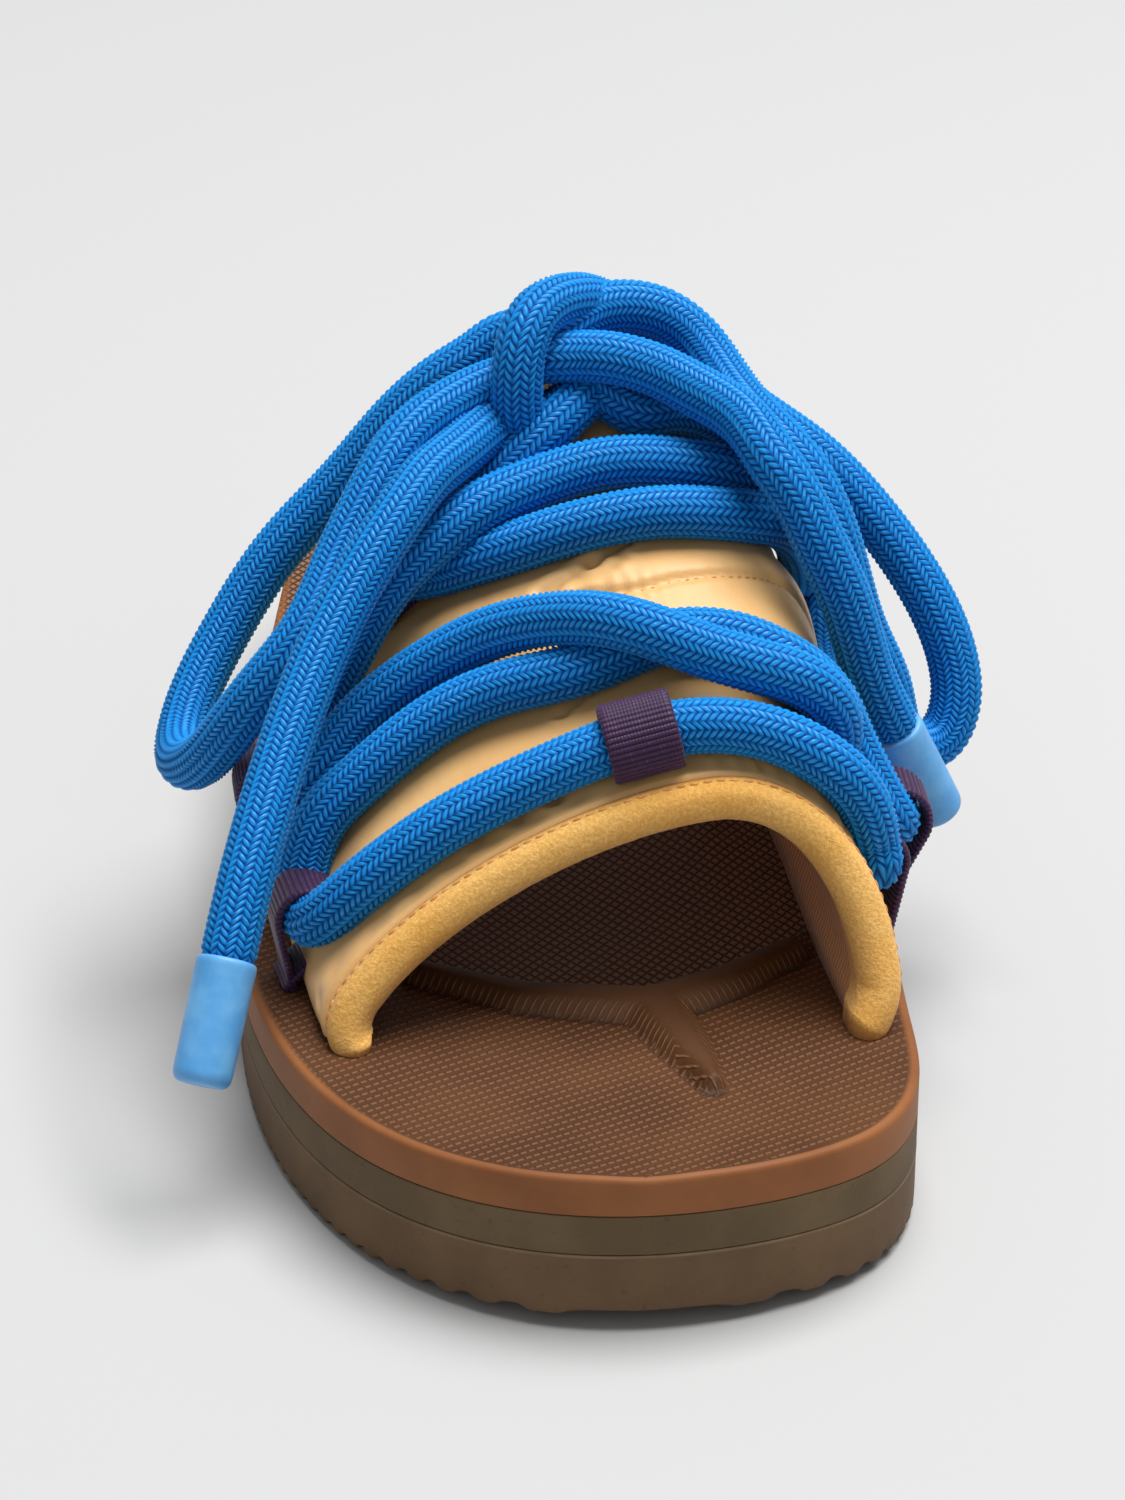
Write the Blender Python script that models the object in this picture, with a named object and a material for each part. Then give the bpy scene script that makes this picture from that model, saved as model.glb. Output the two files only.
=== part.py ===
import bpy
import bmesh
import math
import numpy as np

for old in list(bpy.data.objects):
    bpy.data.objects.remove(old, do_unlink=True)

# Lace-up slide sandal for the right foot
# Tables are in millimetres: x across (medial plus), y from the toe tip to the heel, z up from the floor
MM = 0.001
GAP = 0.3

# Sole sizes
WALL_HEIGHT = 24.0
OUTSOLE_SHARE = 0.45
MIDSOLE_SHARE = 0.275
TOE_SPRING = 2.5
SPRING_LENGTH = 45.0
HEEL_LIFT = 7.0
HEEL_LIFT_FROM = 60.0
HEEL_LIFT_TO = 250.0
HEEL_BEVEL = 2.0
HEEL_BEVEL_LENGTH = 20.0
LUG_PITCH = 5.0
LUG_FLAT = 3.0
GROOVE_DEPTH = 1.4
EDGE_ROUND = 1.2
END_MARGIN = 0.25

# Outline of the sole, columns: x, y
OUTLINE = np.array([
    (9.0, 0.0), (24.0, 2.0), (35.5, 6.3), (45.0, 12.9), (53.0, 26.5), (55.8, 50.0),
    (57.0, 80.0), (54.8, 130.0), (49.0, 175.0), (44.8, 215.0), (40.0, 252.0), (25.5, 276.5),
    (3.0, 284.0), (-19.5, 276.5), (-35.0, 252.0), (-41.5, 215.0), (-46.8, 165.0), (-50.2, 110.0),
    (-47.2, 62.0), (-39.0, 36.0), (-24.0, 13.9), (-8.0, 3.3)])

# Footbed form
DISH_SHARE = 0.64
DISH_SHARE_HEEL = 0.86
DISH_DEPTH = np.array([(0.0, 0.3), (60.0, 0.6), (85.0, 1.6), (150.0, 1.2), (225.0, 4.2), (284.0, 2.5)])
ARCH_RISE = 4.0
ARCH_CENTRE = (27.0, 158.0)
ARCH_REACH = (13.0, 42.0)
BAR_HEIGHT = 2.6
# Toe bar, columns: x, y, half width of the ridge at that point
BAR_TIP = np.array([(22.3, 29.5, 2.0), (19.5, 42.0, 4.4), (15.5, 56.0, 6.0)])
BAR_LATERAL = np.array([(15.5, 56.0, 6.0), (-4.5, 60.0, 4.6), (-21.0, 68.5, 3.2)])
BAR_MEDIAL = np.array([(15.5, 56.0, 6.0), (28.5, 62.5, 4.6), (39.5, 71.0, 3.2)])

# Upper sections, columns: share, base y, ridge y, lateral x, ridge x, medial x, height,
# fullness of the lateral side, fullness of the medial side
SECTIONS = np.array([
    (0.00, 50.0, 60.5, -37.5, 26.0, 52.5, 39.0, 1.55, 2.2),
    (0.25, 74.0, 80.5, -41.5, 24.0, 50.5, 47.5, 1.60, 2.7),
    (0.50, 103.0, 103.5, -43.0, 21.0, 49.0, 56.0, 1.65, 3.0),
    (0.75, 133.0, 126.5, -42.5, 17.0, 46.5, 64.0, 1.70, 2.8),
    (1.00, 163.0, 150.0, -40.0, 13.0, 43.0, 71.5, 1.75, 2.5)])
UPPER_WALL = 5.0
BASE_TUCK = 2.5
BASE_TUCK_HEIGHT = 9.0
UPPER_AROUND = 30
UPPER_ALONG = 12

# Binding rolled round the toe edge of the upper
BINDING_DEPTH = 5.0
BINDING_NOSE = 3.0
BINDING_PROUD = 0.5
BINDING_STEPS = 8
BINDING_AROUND = 34

# Rope and webbing
ROPE_RADIUS = 4.4
ROPE_CLEAR = 0.7
LOOP_CLEAR = 1.0
BASE_GAP = 0.45
ROPE_SIDES = 10
ROPE_STEP = 5.0
WEB_THICK = 1.1
WEB_CLEAR = 0.8
WEB_ARC_STEPS = 12
WEB_FOOT = 3.2
TOP_LOOP_WIDTH = 13.5
TOP_LOOP_WRAP = 42.0
TOP_LOOP_AT = (0.425, 0.048)
# Side loops, columns: name, share around, share along, width, root share around, root offset from the wall
SIDE_LOOPS = (
    ("loop_lateral_front", 0.100, 0.185, 9.0, 0.0, 4.2),
    ("loop_lateral_mid", 0.120, 0.455, 9.0, 0.0, 4.8),
    ("loop_lateral_rear", 0.275, 0.650, 9.0, 0.19, 3.0),
    ("loop_medial_front", 0.885, 0.088, 8.0, 1.0, 4.6),
    ("loop_medial_mid", 0.905, 0.270, 9.0, 1.0, 5.0),
    ("loop_medial_rear", 0.900, 0.870, 9.0, 1.0, 5.6))

# Lace bars on the upper, columns: share around, share along, extra lift
BAR_FRONT = np.array([
    (0.168, 0.072, 0.0), (0.205, 0.056, 0.0), (0.250, 0.046, 0.0), (0.310, 0.042, 0.0), (0.370, 0.045, 0.0),
    (0.440, 0.050, 0.0), (0.500, 0.042, 0.0), (0.560, 0.034, 0.0), (0.630, 0.027, 0.0), (0.710, 0.027, 0.0),
    (0.770, 0.033, 0.0), (0.805, 0.040, 0.0)])
BAR_A = np.array([
    (0.165, 0.385, 0.0), (0.200, 0.400, 0.0), (0.240, 0.404, 0.4), (0.285, 0.392, 1.2), (0.335, 0.365, 3.0),
    (0.385, 0.310, 5.6), (0.425, 0.252, 7.4), (0.465, 0.198, 6.6), (0.500, 0.170, 5.2), (0.555, 0.145, 4.4),
    (0.630, 0.147, 3.4), (0.695, 0.150, 2.4), (0.755, 0.156, 1.0), (0.800, 0.164, 0.0)])
BAR_C = np.array([
    (0.150, 0.270, 0.0), (0.205, 0.280, 0.0), (0.250, 0.284, 0.0), (0.300, 0.282, 0.0), (0.340, 0.265, 0.0),
    (0.385, 0.244, 0.0), (0.425, 0.250, 0.0), (0.460, 0.262, 0.0), (0.500, 0.262, 0.0), (0.545, 0.252, 0.0),
    (0.590, 0.238, 0.0), (0.650, 0.228, 0.0), (0.720, 0.230, 0.0), (0.775, 0.238, 0.0)])
BAR_D = np.array([
    (0.175, 0.515, 0.4), (0.205, 0.522, 1.6), (0.240, 0.532, 4.0), (0.285, 0.556, 6.8), (0.325, 0.586, 6.6),
    (0.365, 0.618, 4.0), (0.410, 0.648, 1.6), (0.455, 0.663, 0.8), (0.500, 0.664, 0.5), (0.540, 0.660, 0.2),
    (0.585, 0.662, 0.0), (0.622, 0.672, 0.0)])
BAR_E = np.array([
    (0.840, 0.775, 0.0), (0.800, 0.725, 0.0), (0.740, 0.665, 0.0), (0.680, 0.612, 0.0), (0.615, 0.572, 0.0),
    (0.550, 0.552, 0.0), (0.500, 0.544, 0.0), (0.455, 0.531, 0.0), (0.410, 0.525, 0.0),
    (0.370, 0.535, 0.0), (0.335, 0.560, 0.0), (0.305, 0.592, 0.0)])
BAR_K1 = np.array([
    (0.312, 0.694, 0.0), (0.345, 0.714, 0.4), (0.375, 0.740, 1.4), (0.393, 0.758, 2.0)])
BAR_K2 = np.array([
    (0.580, 0.808, 0.0), (0.562, 0.805, 0.0), (0.542, 0.799, 0.0), (0.520, 0.790, 0.0)])

# Free lace, columns: x, y, z
KNOT_CENTRE = np.array([3.0, 136.0, 109.0])
KNOT_RING = 7.0
KNOT_CORE = 4.6
LOOP_LEFT = np.array([
    (-2.8, 143.7, 104.9), (-6.7, 143.6, 102.2), (-11.0, 143.5, 99.5), (-20.1, 143.5, 91.9),
    (-30.2, 143.0, 80.3), (-40.5, 141.0, 69.9), (-50.5, 135.5, 56.8), (-56.8, 127.0, 47.4),
    (-58.9, 118.0, 43.1), (-57.8, 108.5, 44.0), (-54.3, 100.5, 48.8), (-45.5, 93.0, 63.1),
    (-36.7, 95.0, 73.9), (-31.7, 103.0, 81.3), (-26.0, 110.5, 89.9), (-20.0, 118.0, 96.8),
    (-11.9, 125.5, 100.2), (-6.9, 129.0, 101.3), (-2.3, 131.5, 102.0)])
END_LEFT = np.array([
    (-0.3, 124.4, 108.4), (-2.8, 119.8, 106.5), (-8.0, 114.0, 102.8), (-14.5, 108.2, 97.3),
    (-20.7, 101.8, 92.0), (-29.2, 91.5, 82.3), (-36.2, 81.0, 72.4), (-43.0, 66.5, 60.0),
    (-48.0, 54.0, 48.2), (-51.2, 46.5, 38.0)])
LOOP_RIGHT = np.array([
    (8.6, 146.0, 108.2), (12.5, 147.5, 107.4), (17.2, 148.0, 105.7), (26.1, 148.0, 102.0),
    (34.5, 143.5, 96.0), (41.6, 139.0, 91.4), (50.0, 134.5, 86.2), (58.3, 129.5, 78.5),
    (65.5, 125.0, 69.4), (70.3, 121.5, 61.2), (73.1, 119.0, 52.7), (73.2, 117.0, 46.7),
    (70.0, 114.5, 41.1), (65.5, 112.0, 41.0), (59.6, 107.3, 54.3), (54.8, 105.8, 65.8),
    (51.7, 105.4, 75.6), (48.8, 106.0, 85.0), (44.5, 109.6, 93.2), (39.3, 116.4, 97.9),
    (34.9, 126.4, 101.4), (31.2, 133.4, 106.0), (28.2, 138.0, 109.6), (23.9, 140.0, 111.9),
    (17.7, 140.2, 112.9), (12.4, 139.2, 113.4), (8.4, 138.2, 113.2)])
END_RIGHT = np.array([
    (7.6, 128.9, 106.6), (13.0, 127.2, 107.2), (20.1, 125.2, 107.0), (27.0, 121.0, 105.5),
    (31.2, 117.5, 104.6), (35.4, 109.6, 101.3), (38.6, 102.2, 97.9), (42.1, 98.6, 93.2),
    (44.8, 96.6, 88.0), (50.5, 95.4, 75.3), (54.4, 96.4, 63.0), (60.4, 98.5, 49.7)])
CORD_STEP = 13.0
CORD_RESOLUTION = 2
AGLET_RADIUS = 4.7
AGLET_LENGTH = 18.0
AGLET_ROUND = 1.5
AGLET_SIDES = 14


def spline(points, count, closed=False):
    # natural or closed cubic through the rows, read at even steps of chord length
    pts = np.vstack([points, points[:1]]) if closed else np.asarray(points, float)
    chord = np.linalg.norm(np.diff(pts, axis=0), axis=1)
    knots = np.concatenate([[0.0], np.cumsum(chord)])
    n = len(pts)
    lhs = np.zeros((n, n))
    rhs = np.zeros((n, pts.shape[1]))
    slope = np.diff(pts, axis=0) / chord[:, None]
    for i in range(1, n - 1):
        lhs[i, i - 1:i + 2] = chord[i - 1], 2.0 * (chord[i - 1] + chord[i]), chord[i]
        rhs[i] = 6.0 * (slope[i] - slope[i - 1])
    if closed:
        lhs[0, 0], lhs[0, -1] = 1.0, -1.0
        lhs[-1, 0], lhs[-1, 1] = 2.0 * chord[0], chord[0]
        lhs[-1, -1], lhs[-1, -2] = 2.0 * chord[-1], chord[-1]
        rhs[-1] = 6.0 * (slope[0] - slope[-1])
    else:
        lhs[0, 0] = lhs[-1, -1] = 1.0
    bend = np.linalg.solve(lhs, rhs)
    at = np.linspace(0.0, knots[-1], count)
    k = np.clip(np.searchsorted(knots, at, side="right") - 1, 0, n - 2)
    h = chord[k][:, None]
    b = ((at - knots[k])[:, None]) / h
    a = 1.0 - b
    curve = a * pts[k] + b * pts[k + 1]
    return curve + ((a ** 3 - a) * bend[k] + (b ** 3 - b) * bend[k + 1]) * h * h / 6.0


def smooth(t):
    t = np.clip(t, 0.0, 1.0)
    return t * t * (3.0 - 2.0 * t)


# Sole outline as two sides over y
EDGE = spline(OUTLINE, 1201, closed=True)[:-1]
TIP = int(np.argmin(EDGE[:, 1]))
EDGE = np.roll(EDGE, -TIP, axis=0)
BACK = int(np.argmax(EDGE[:, 1]))
MEDIAL_SIDE = EDGE[:BACK + 1]
LATERAL_SIDE = np.vstack([EDGE[BACK:], EDGE[:1]])[::-1]
TOE_Y = EDGE[0, 1]
HEEL_Y = EDGE[BACK, 1]


def sides(y):
    lateral = np.interp(y, LATERAL_SIDE[:, 1], LATERAL_SIDE[:, 0])
    medial = np.interp(y, MEDIAL_SIDE[:, 1], MEDIAL_SIDE[:, 0])
    return lateral, medial


def edge_distance(x, y):
    pts = np.stack([x, y], -1).reshape(-1, 1, 2)
    d = np.linalg.norm(pts - EDGE[None, ::2], axis=2).min(axis=1)
    return d.reshape(x.shape)


def floor_line(y):
    spring = TOE_SPRING * np.clip(1.0 - (y - TOE_Y) / SPRING_LENGTH, 0.0, 1.0) ** 2
    bevel = HEEL_BEVEL * np.clip((y - HEEL_Y + HEEL_BEVEL_LENGTH) / HEEL_BEVEL_LENGTH, 0.0, 1.0) ** 2
    return spring + bevel


def wedge(y):
    return HEEL_LIFT * smooth((y - HEEL_LIFT_FROM) / (HEEL_LIFT_TO - HEEL_LIFT_FROM))


def spring_line(y):
    return TOE_SPRING * np.clip(1.0 - (y - TOE_Y) / SPRING_LENGTH, 0.0, 1.0) ** 2


def rim_line(y):
    return WALL_HEIGHT + spring_line(y) + wedge(y)


def outsole_line(y):
    return OUTSOLE_SHARE * WALL_HEIGHT + spring_line(y) + 0.25 * wedge(y)


def midsole_line(y):
    return (OUTSOLE_SHARE + MIDSOLE_SHARE) * WALL_HEIGHT + spring_line(y) + 0.9 * wedge(y)


def ridge(x, y, rows):
    best = np.zeros_like(x)
    for (x0, y0, w0), (x1, y1, w1) in zip(rows[:-1], rows[1:]):
        dx, dy = x1 - x0, y1 - y0
        t = np.clip(((x - x0) * dx + (y - y0) * dy) / (dx * dx + dy * dy), 0.0, 1.0)
        d = np.hypot(x - x0 - t * dx, y - y0 - t * dy)
        best = np.maximum(best, smooth(1.25 - d / (w0 + t * (w1 - w0)) * 1.25))
    return best


def footbed_top(x, y):
    lateral, medial = sides(y)
    across = (x - 0.5 * (lateral + medial)) / np.maximum(0.5 * (medial - lateral), 1.0)
    limit = DISH_SHARE + (DISH_SHARE_HEEL - DISH_SHARE) * smooth((y - 170.0) / 40.0)
    depth = np.interp(y, DISH_DEPTH[:, 0], DISH_DEPTH[:, 1])
    dish = depth * np.clip(1.0 - (across / limit) ** 2, 0.0, 1.0) ** 1.5
    arch = ARCH_RISE * np.exp(-((x - ARCH_CENTRE[0]) / ARCH_REACH[0]) ** 2
                              - ((y - ARCH_CENTRE[1]) / ARCH_REACH[1]) ** 2)
    arch = arch * np.clip((limit - np.abs(across)) / 0.12, 0.0, 1.0)
    bar = np.maximum.reduce([ridge(x, y, r) for r in (BAR_TIP, BAR_LATERAL, BAR_MEDIAL)])
    near = np.clip(1.0 - edge_distance(x, y) / EDGE_ROUND, 0.0, 1.0)
    return rim_line(y) - dish + arch + BAR_HEIGHT * bar - EDGE_ROUND * (1.0 - np.sqrt(1.0 - near ** 2))


def slab(rows, shares, top, bottom):
    # a layer between two height functions over the outline
    lateral, medial = sides(rows)
    x = lateral[:, None] + (medial - lateral)[:, None] * shares[None, :]
    y = np.repeat(rows[:, None], len(shares), axis=1)
    z = top(x, y)
    nr, nc = x.shape
    verts = [np.stack([x, y, z], -1).reshape(-1, 3)]
    under = bottom(rows)
    low = np.stack([np.stack([lateral, rows, under], -1), np.stack([medial, rows, under], -1)], 1)
    verts.append(low.reshape(-1, 3))
    base = nr * nc
    faces = []
    for j in range(nr - 1):
        for i in range(nc - 1):
            a = j * nc + i
            faces.append((a, a + 1, a + nc + 1, a + nc))
        b = base + 2 * j
        faces.append((b, b + 2, b + 3, b + 1))
        faces.append((j * nc, (j + 1) * nc, b + 2, b))
        faces.append(((j + 1) * nc - 1, b + 1, b + 3, (j + 2) * nc - 1))
    last = base + 2 * (nr - 1)
    faces.append(tuple(range(nc - 1, -1, -1)) + (base, base + 1))
    faces.append(tuple(range((nr - 1) * nc, nr * nc)) + (last + 1, last))
    return np.vstack(verts), faces


FINE_SHARES = np.linspace(-0.1, 1.1, 481)
FINE_ROWS = np.stack([np.interp(FINE_SHARES, SECTIONS[:, 0], SECTIONS[:, c])
                      for c in range(1, 9)], 0)
ENDS = (SECTIONS[1] - SECTIONS[0]) / (SECTIONS[1, 0] - SECTIONS[0, 0])
TAIL = (SECTIONS[-1] - SECTIONS[-2]) / (SECTIONS[-1, 0] - SECTIONS[-2, 0])
FINE_ROWS += np.where(FINE_SHARES < 0, FINE_SHARES, 0.0)[None, :] * ENDS[1:, None]
FINE_ROWS += np.where(FINE_SHARES > 1, FINE_SHARES - 1.0, 0.0)[None, :] * TAIL[1:, None]
WEIGHT = np.exp(-(np.linspace(-2.0, 2.0, 49)) ** 2)
PADDED = np.pad(FINE_ROWS, ((0, 0), (24, 24)), mode="reflect", reflect_type="odd")
FINE_ROWS = np.stack([np.convolve(r, WEIGHT / WEIGHT.sum(), mode="valid") for r in PADDED], 0)


def upper_skin(u, v):
    # outer face of the upper: two superellipse quarters that meet on the ridge, over a base line
    u, v = np.broadcast_arrays(np.asarray(u, float), np.asarray(v, float))
    base, top, lat, mid, med, high, full_l, full_m = [np.interp(v, FINE_SHARES, r) for r in FINE_ROWS]
    lateral = u < 0.5
    power = 2.0 / np.where(lateral, full_l, full_m)
    c = np.abs(np.cos(math.pi * u)) ** power
    s = np.clip(np.sin(math.pi * u), 0.0, 1.0) ** power
    z = high * s
    tuck = BASE_TUCK * np.clip(1.0 - z / BASE_TUCK_HEIGHT, 0.0, 1.0) ** 2
    x = np.where(lateral, mid - (mid - lat) * c + tuck, mid + (med - mid) * c - tuck)
    y = base + (top - base) * s
    return np.stack([x, y, rim_line(base) + BASE_GAP + z], -1)


def upper_frame(u, v):
    step = 0.002
    u, v = np.broadcast_arrays(np.asarray(u, float), np.asarray(v, float))
    around = upper_skin(np.minimum(u + step, 1.0), v) - upper_skin(np.maximum(u - step, 0.0), v)
    along = upper_skin(u, v + step) - upper_skin(u, v - step)
    out = np.cross(around, along)
    out = out / np.linalg.norm(out, axis=-1, keepdims=True)
    along = along / np.linalg.norm(along, axis=-1, keepdims=True)
    return out, along


def lace_points(rows):
    rows = spline(rows, 8 * len(rows))
    out, along = upper_frame(rows[:, 0], rows[:, 1])
    return upper_skin(rows[:, 0], rows[:, 1]) + out * (ROPE_RADIUS + ROPE_CLEAR + rows[:, 2:3])


def resample(points, step):
    d = np.concatenate([[0.0], np.cumsum(np.linalg.norm(np.diff(points, axis=0), axis=1))])
    count = max(3, int(round(d[-1] / step)) + 1)
    at = np.linspace(0.0, d[-1], count)
    return np.stack([np.interp(at, d, points[:, c]) for c in range(3)], -1)


def frames(path):
    tangent = np.gradient(path, axis=0)
    tangent = tangent / np.linalg.norm(tangent, axis=1, keepdims=True)
    side = np.zeros_like(path)
    start = np.cross(tangent[0], (0.0, 0.0, 1.0))
    if np.linalg.norm(start) < 0.2:
        start = np.cross(tangent[0], (0.0, 1.0, 0.0))
    side[0] = start / np.linalg.norm(start)
    for k in range(1, len(path)):
        s = side[k - 1] - tangent[k] * np.dot(side[k - 1], tangent[k])
        side[k] = s / np.linalg.norm(s)
    return tangent, side, np.cross(tangent, side)


def tube(path, radii, count):
    tangent, side, up = frames(path)
    turn = np.linspace(0.0, 2.0 * math.pi, count, endpoint=False)
    ring = (side[:, None, :] * np.cos(turn)[None, :, None] + up[:, None, :] * np.sin(turn)[None, :, None])
    verts = path[:, None, :] + ring * np.asarray(radii, float).reshape(-1, 1, 1)
    faces = []
    for j in range(len(path) - 1):
        for i in range(count):
            k = (i + 1) % count
            faces.append((j * count + i, j * count + k, (j + 1) * count + k, (j + 1) * count + i))
    faces.append(tuple(range(count - 1, -1, -1)))
    faces.append(tuple(range((len(path) - 1) * count, len(path) * count)))
    return verts.reshape(-1, 3), faces


def ring_prism(outer, inner, push, closed):
    # a band between two matched rows of points, pushed through by a vector
    n = len(outer)
    verts = np.vstack([outer - push, inner - push, outer + push, inner + push])
    faces = []
    for i in range(n if closed else n - 1):
        k = (i + 1) % n
        faces.append((i, k, n + k, n + i))
        faces.append((2 * n + k, 2 * n + i, 3 * n + i, 3 * n + k))
        faces.append((k, i, 2 * n + i, 2 * n + k))
        faces.append((n + i, n + k, 3 * n + k, 3 * n + i))
    if not closed:
        faces.append((0, n, 3 * n, 2 * n))
        faces.append((n - 1, 3 * n - 1, 4 * n - 1, 2 * n - 1))
    return verts, faces


def drop(centre, foot, radius, steps):
    # teardrop row: a foot point, then the arc between the two tangent points
    reach = foot - centre
    far = np.linalg.norm(reach)
    start = math.atan2(reach[1], reach[0])
    open_angle = math.acos(min(radius / far, 1.0))
    turn = np.linspace(start + open_angle, start + 2.0 * math.pi - open_angle, steps)
    arc = centre[None, :] + radius * np.stack([np.cos(turn), np.sin(turn)], -1)
    return np.vstack([foot[None, :], arc])


def side_loop(u, v, width, root_u, offset):
    out, along = upper_frame(u, v)
    inner_radius = ROPE_RADIUS + WEB_CLEAR
    outer_radius = inner_radius + WEB_THICK
    centre = upper_skin(u, v) + out * (outer_radius + LOOP_CLEAR)
    run = np.array([along[0], along[1], 0.0])
    run = run / np.linalg.norm(run)
    outward = np.array([run[1], -run[0], 0.0]) * (1.0 if u > 0.5 else -1.0)
    foot_z = rim_line(centre[1] + 0.5 * width) + BASE_GAP
    root_v = np.interp(centre[1], FINE_ROWS[0], FINE_SHARES)
    if 0.0 < root_u < 1.0:
        root_v = v
        foot_z = upper_skin(root_u, v)[2]
    foot = upper_skin(root_u, root_v) + outward * offset
    flat = np.array([np.dot(foot - centre, outward), foot_z - centre[2]])
    outer = drop(np.zeros(2), flat, outer_radius, WEB_ARC_STEPS)
    inner_foot = flat * (1.0 - WEB_FOOT * WEB_THICK / np.linalg.norm(flat))
    inner = drop(np.zeros(2), inner_foot, inner_radius, WEB_ARC_STEPS)
    up = np.array([0.0, 0.0, 1.0])
    place = [centre + p[:, :1] * outward + p[:, 1:] * up for p in (outer, inner)]
    return ring_prism(place[0], place[1], run * width * 0.5, True)


def top_loop():
    u, v = TOP_LOOP_AT
    out, along = upper_frame(u, v)
    run = np.cross(out, along)
    centre = upper_skin(u, v) + out * (ROPE_RADIUS + ROPE_CLEAR)
    turn = np.radians(np.linspace(-TOP_LOOP_WRAP, 180.0 + TOP_LOOP_WRAP, WEB_ARC_STEPS + 4))
    around = along[None, :] * np.cos(turn)[:, None] + out[None, :] * np.sin(turn)[:, None]
    inner = centre + around * (ROPE_RADIUS + WEB_CLEAR)
    outer = centre + around * (ROPE_RADIUS + WEB_CLEAR + WEB_THICK)
    return ring_prism(outer, inner, run * TOP_LOOP_WIDTH * 0.5, False)


def upper_shell():
    u = np.linspace(0.0, 1.0, UPPER_AROUND + 1)[:, None]
    v = np.linspace(0.0, 1.0, UPPER_ALONG + 1)[None, :]
    outer = upper_skin(u, v)
    out, along = upper_frame(u, v)
    inner = outer - out * UPPER_WALL
    for end in (0, -1):
        inner[end, :, 2] = rim_line(inner[end, :, 1]) + BASE_GAP
    nu, nv = outer.shape[:2]
    verts = np.vstack([outer.reshape(-1, 3), inner.reshape(-1, 3)])
    half = nu * nv
    faces = []
    for i in range(nu - 1):
        for j in range(nv - 1):
            a = i * nv + j
            faces.append((a, a + 1, a + nv + 1, a + nv))
            faces.append((half + a, half + a + nv, half + a + nv + 1, half + a + 1))
        a, b = i * nv, i * nv + nv - 1
        faces.append((a, a + nv, half + a + nv, half + a))
        faces.append((b, half + b, half + b + nv, b + nv))
    for j in range(nv - 1):
        b = (nu - 1) * nv + j
        faces.append((j, half + j, half + j + 1, j + 1))
        faces.append((b, b + 1, half + b + 1, half + b))
    return verts, faces


def binding_roll():
    u = np.linspace(0.0, 1.0, BINDING_AROUND + 1)
    skin = upper_skin(u, np.zeros_like(u))
    out, along = upper_frame(u, np.zeros_like(u))
    half = 0.5 * UPPER_WALL + BINDING_PROUD
    turn = np.linspace(-0.5 * math.pi, 0.5 * math.pi, BINDING_STEPS + 1)
    forward = np.concatenate([[BASE_GAP], BINDING_DEPTH + BINDING_NOSE * np.cos(turn), [BASE_GAP]])
    lift = np.concatenate([[-half], half * np.sin(turn), [half]]) - 0.5 * UPPER_WALL
    verts = skin[:, None, :] - along[:, None, :] * forward[None, :, None]
    verts = verts + out[:, None, :] * lift[None, :, None]
    for end in (0, -1):
        verts[end, :, 2] = rim_line(verts[end, :, 1]) + BASE_GAP
    n = len(forward)
    faces = []
    for j in range(BINDING_AROUND):
        for i in range(n):
            k = (i + 1) % n
            faces.append((j * n + i, j * n + k, (j + 1) * n + k, (j + 1) * n + i))
    faces.append(tuple(range(n - 1, -1, -1)))
    faces.append(tuple(range(BINDING_AROUND * n, (BINDING_AROUND + 1) * n)))
    return verts.reshape(-1, 3), faces


def lug_rows():
    rows = []
    start = TOE_Y + 1.0
    while start < HEEL_Y - LUG_PITCH:
        groove = start + LUG_FLAT
        rows += [(start, 0.0), (groove, 0.0), (0.5 * (groove + start + LUG_PITCH), GROOVE_DEPTH)]
        start += LUG_PITCH
    tail = [(start, 0.0), (HEEL_Y - 1.2, 0.0), (HEEL_Y - END_MARGIN, 0.0)]
    rows = [(TOE_Y + END_MARGIN, 0.0)] + rows + tail
    return np.array(rows)


def knot_parts():
    turn = np.linspace(0.0, 2.0 * math.pi, 17)[:-1]
    small = np.linspace(0.0, 2.0 * math.pi, 9)[:-1]
    reach = KNOT_RING + ROPE_RADIUS * np.cos(small)[None, :]
    y = KNOT_CENTRE[1] + np.cos(turn)[:, None] * reach
    z = KNOT_CENTRE[2] + np.sin(turn)[:, None] * reach
    x = KNOT_CENTRE[0] + np.repeat(ROPE_RADIUS * np.sin(small)[None, :], len(turn), axis=0)
    verts = np.stack([x, y, z], -1).reshape(-1, 3)
    n, m = len(turn), len(small)
    faces = [(i * m + j, i * m + (j + 1) % m, ((i + 1) % n) * m + (j + 1) % m, ((i + 1) % n) * m + j)
             for i in range(n) for j in range(m)]
    ends = np.array([-KNOT_CORE, 0.0, KNOT_CORE])
    path = KNOT_CENTRE[None, :] + np.stack([ends, 0.0 * ends, 0.0 * ends], -1)
    core = tube(path, np.full(len(path), ROPE_RADIUS), ROPE_SIDES)
    return (verts, faces), core


def aglet(start, before):
    d = (start - before) / np.linalg.norm(start - before)
    tip = AGLET_LENGTH
    at = np.array([GAP, GAP + 0.4, tip - AGLET_ROUND, tip - 0.3 * AGLET_ROUND, tip])
    radii = np.array([AGLET_RADIUS - 0.4, AGLET_RADIUS, AGLET_RADIUS, AGLET_RADIUS - 0.5, AGLET_RADIUS - 1.3])
    return tube(start[None, :] + at[:, None] * d[None, :], radii, AGLET_SIDES)


MATERIALS = {}


def material(name, colour, rough):
    if name not in MATERIALS:
        m = bpy.data.materials.new(name)
        m.use_nodes = True
        node = m.node_tree.nodes["Principled BSDF"]
        node.inputs["Base Color"].default_value = (*colour, 1.0)
        node.inputs["Roughness"].default_value = rough
        MATERIALS[name] = m
    return MATERIALS[name]


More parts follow.
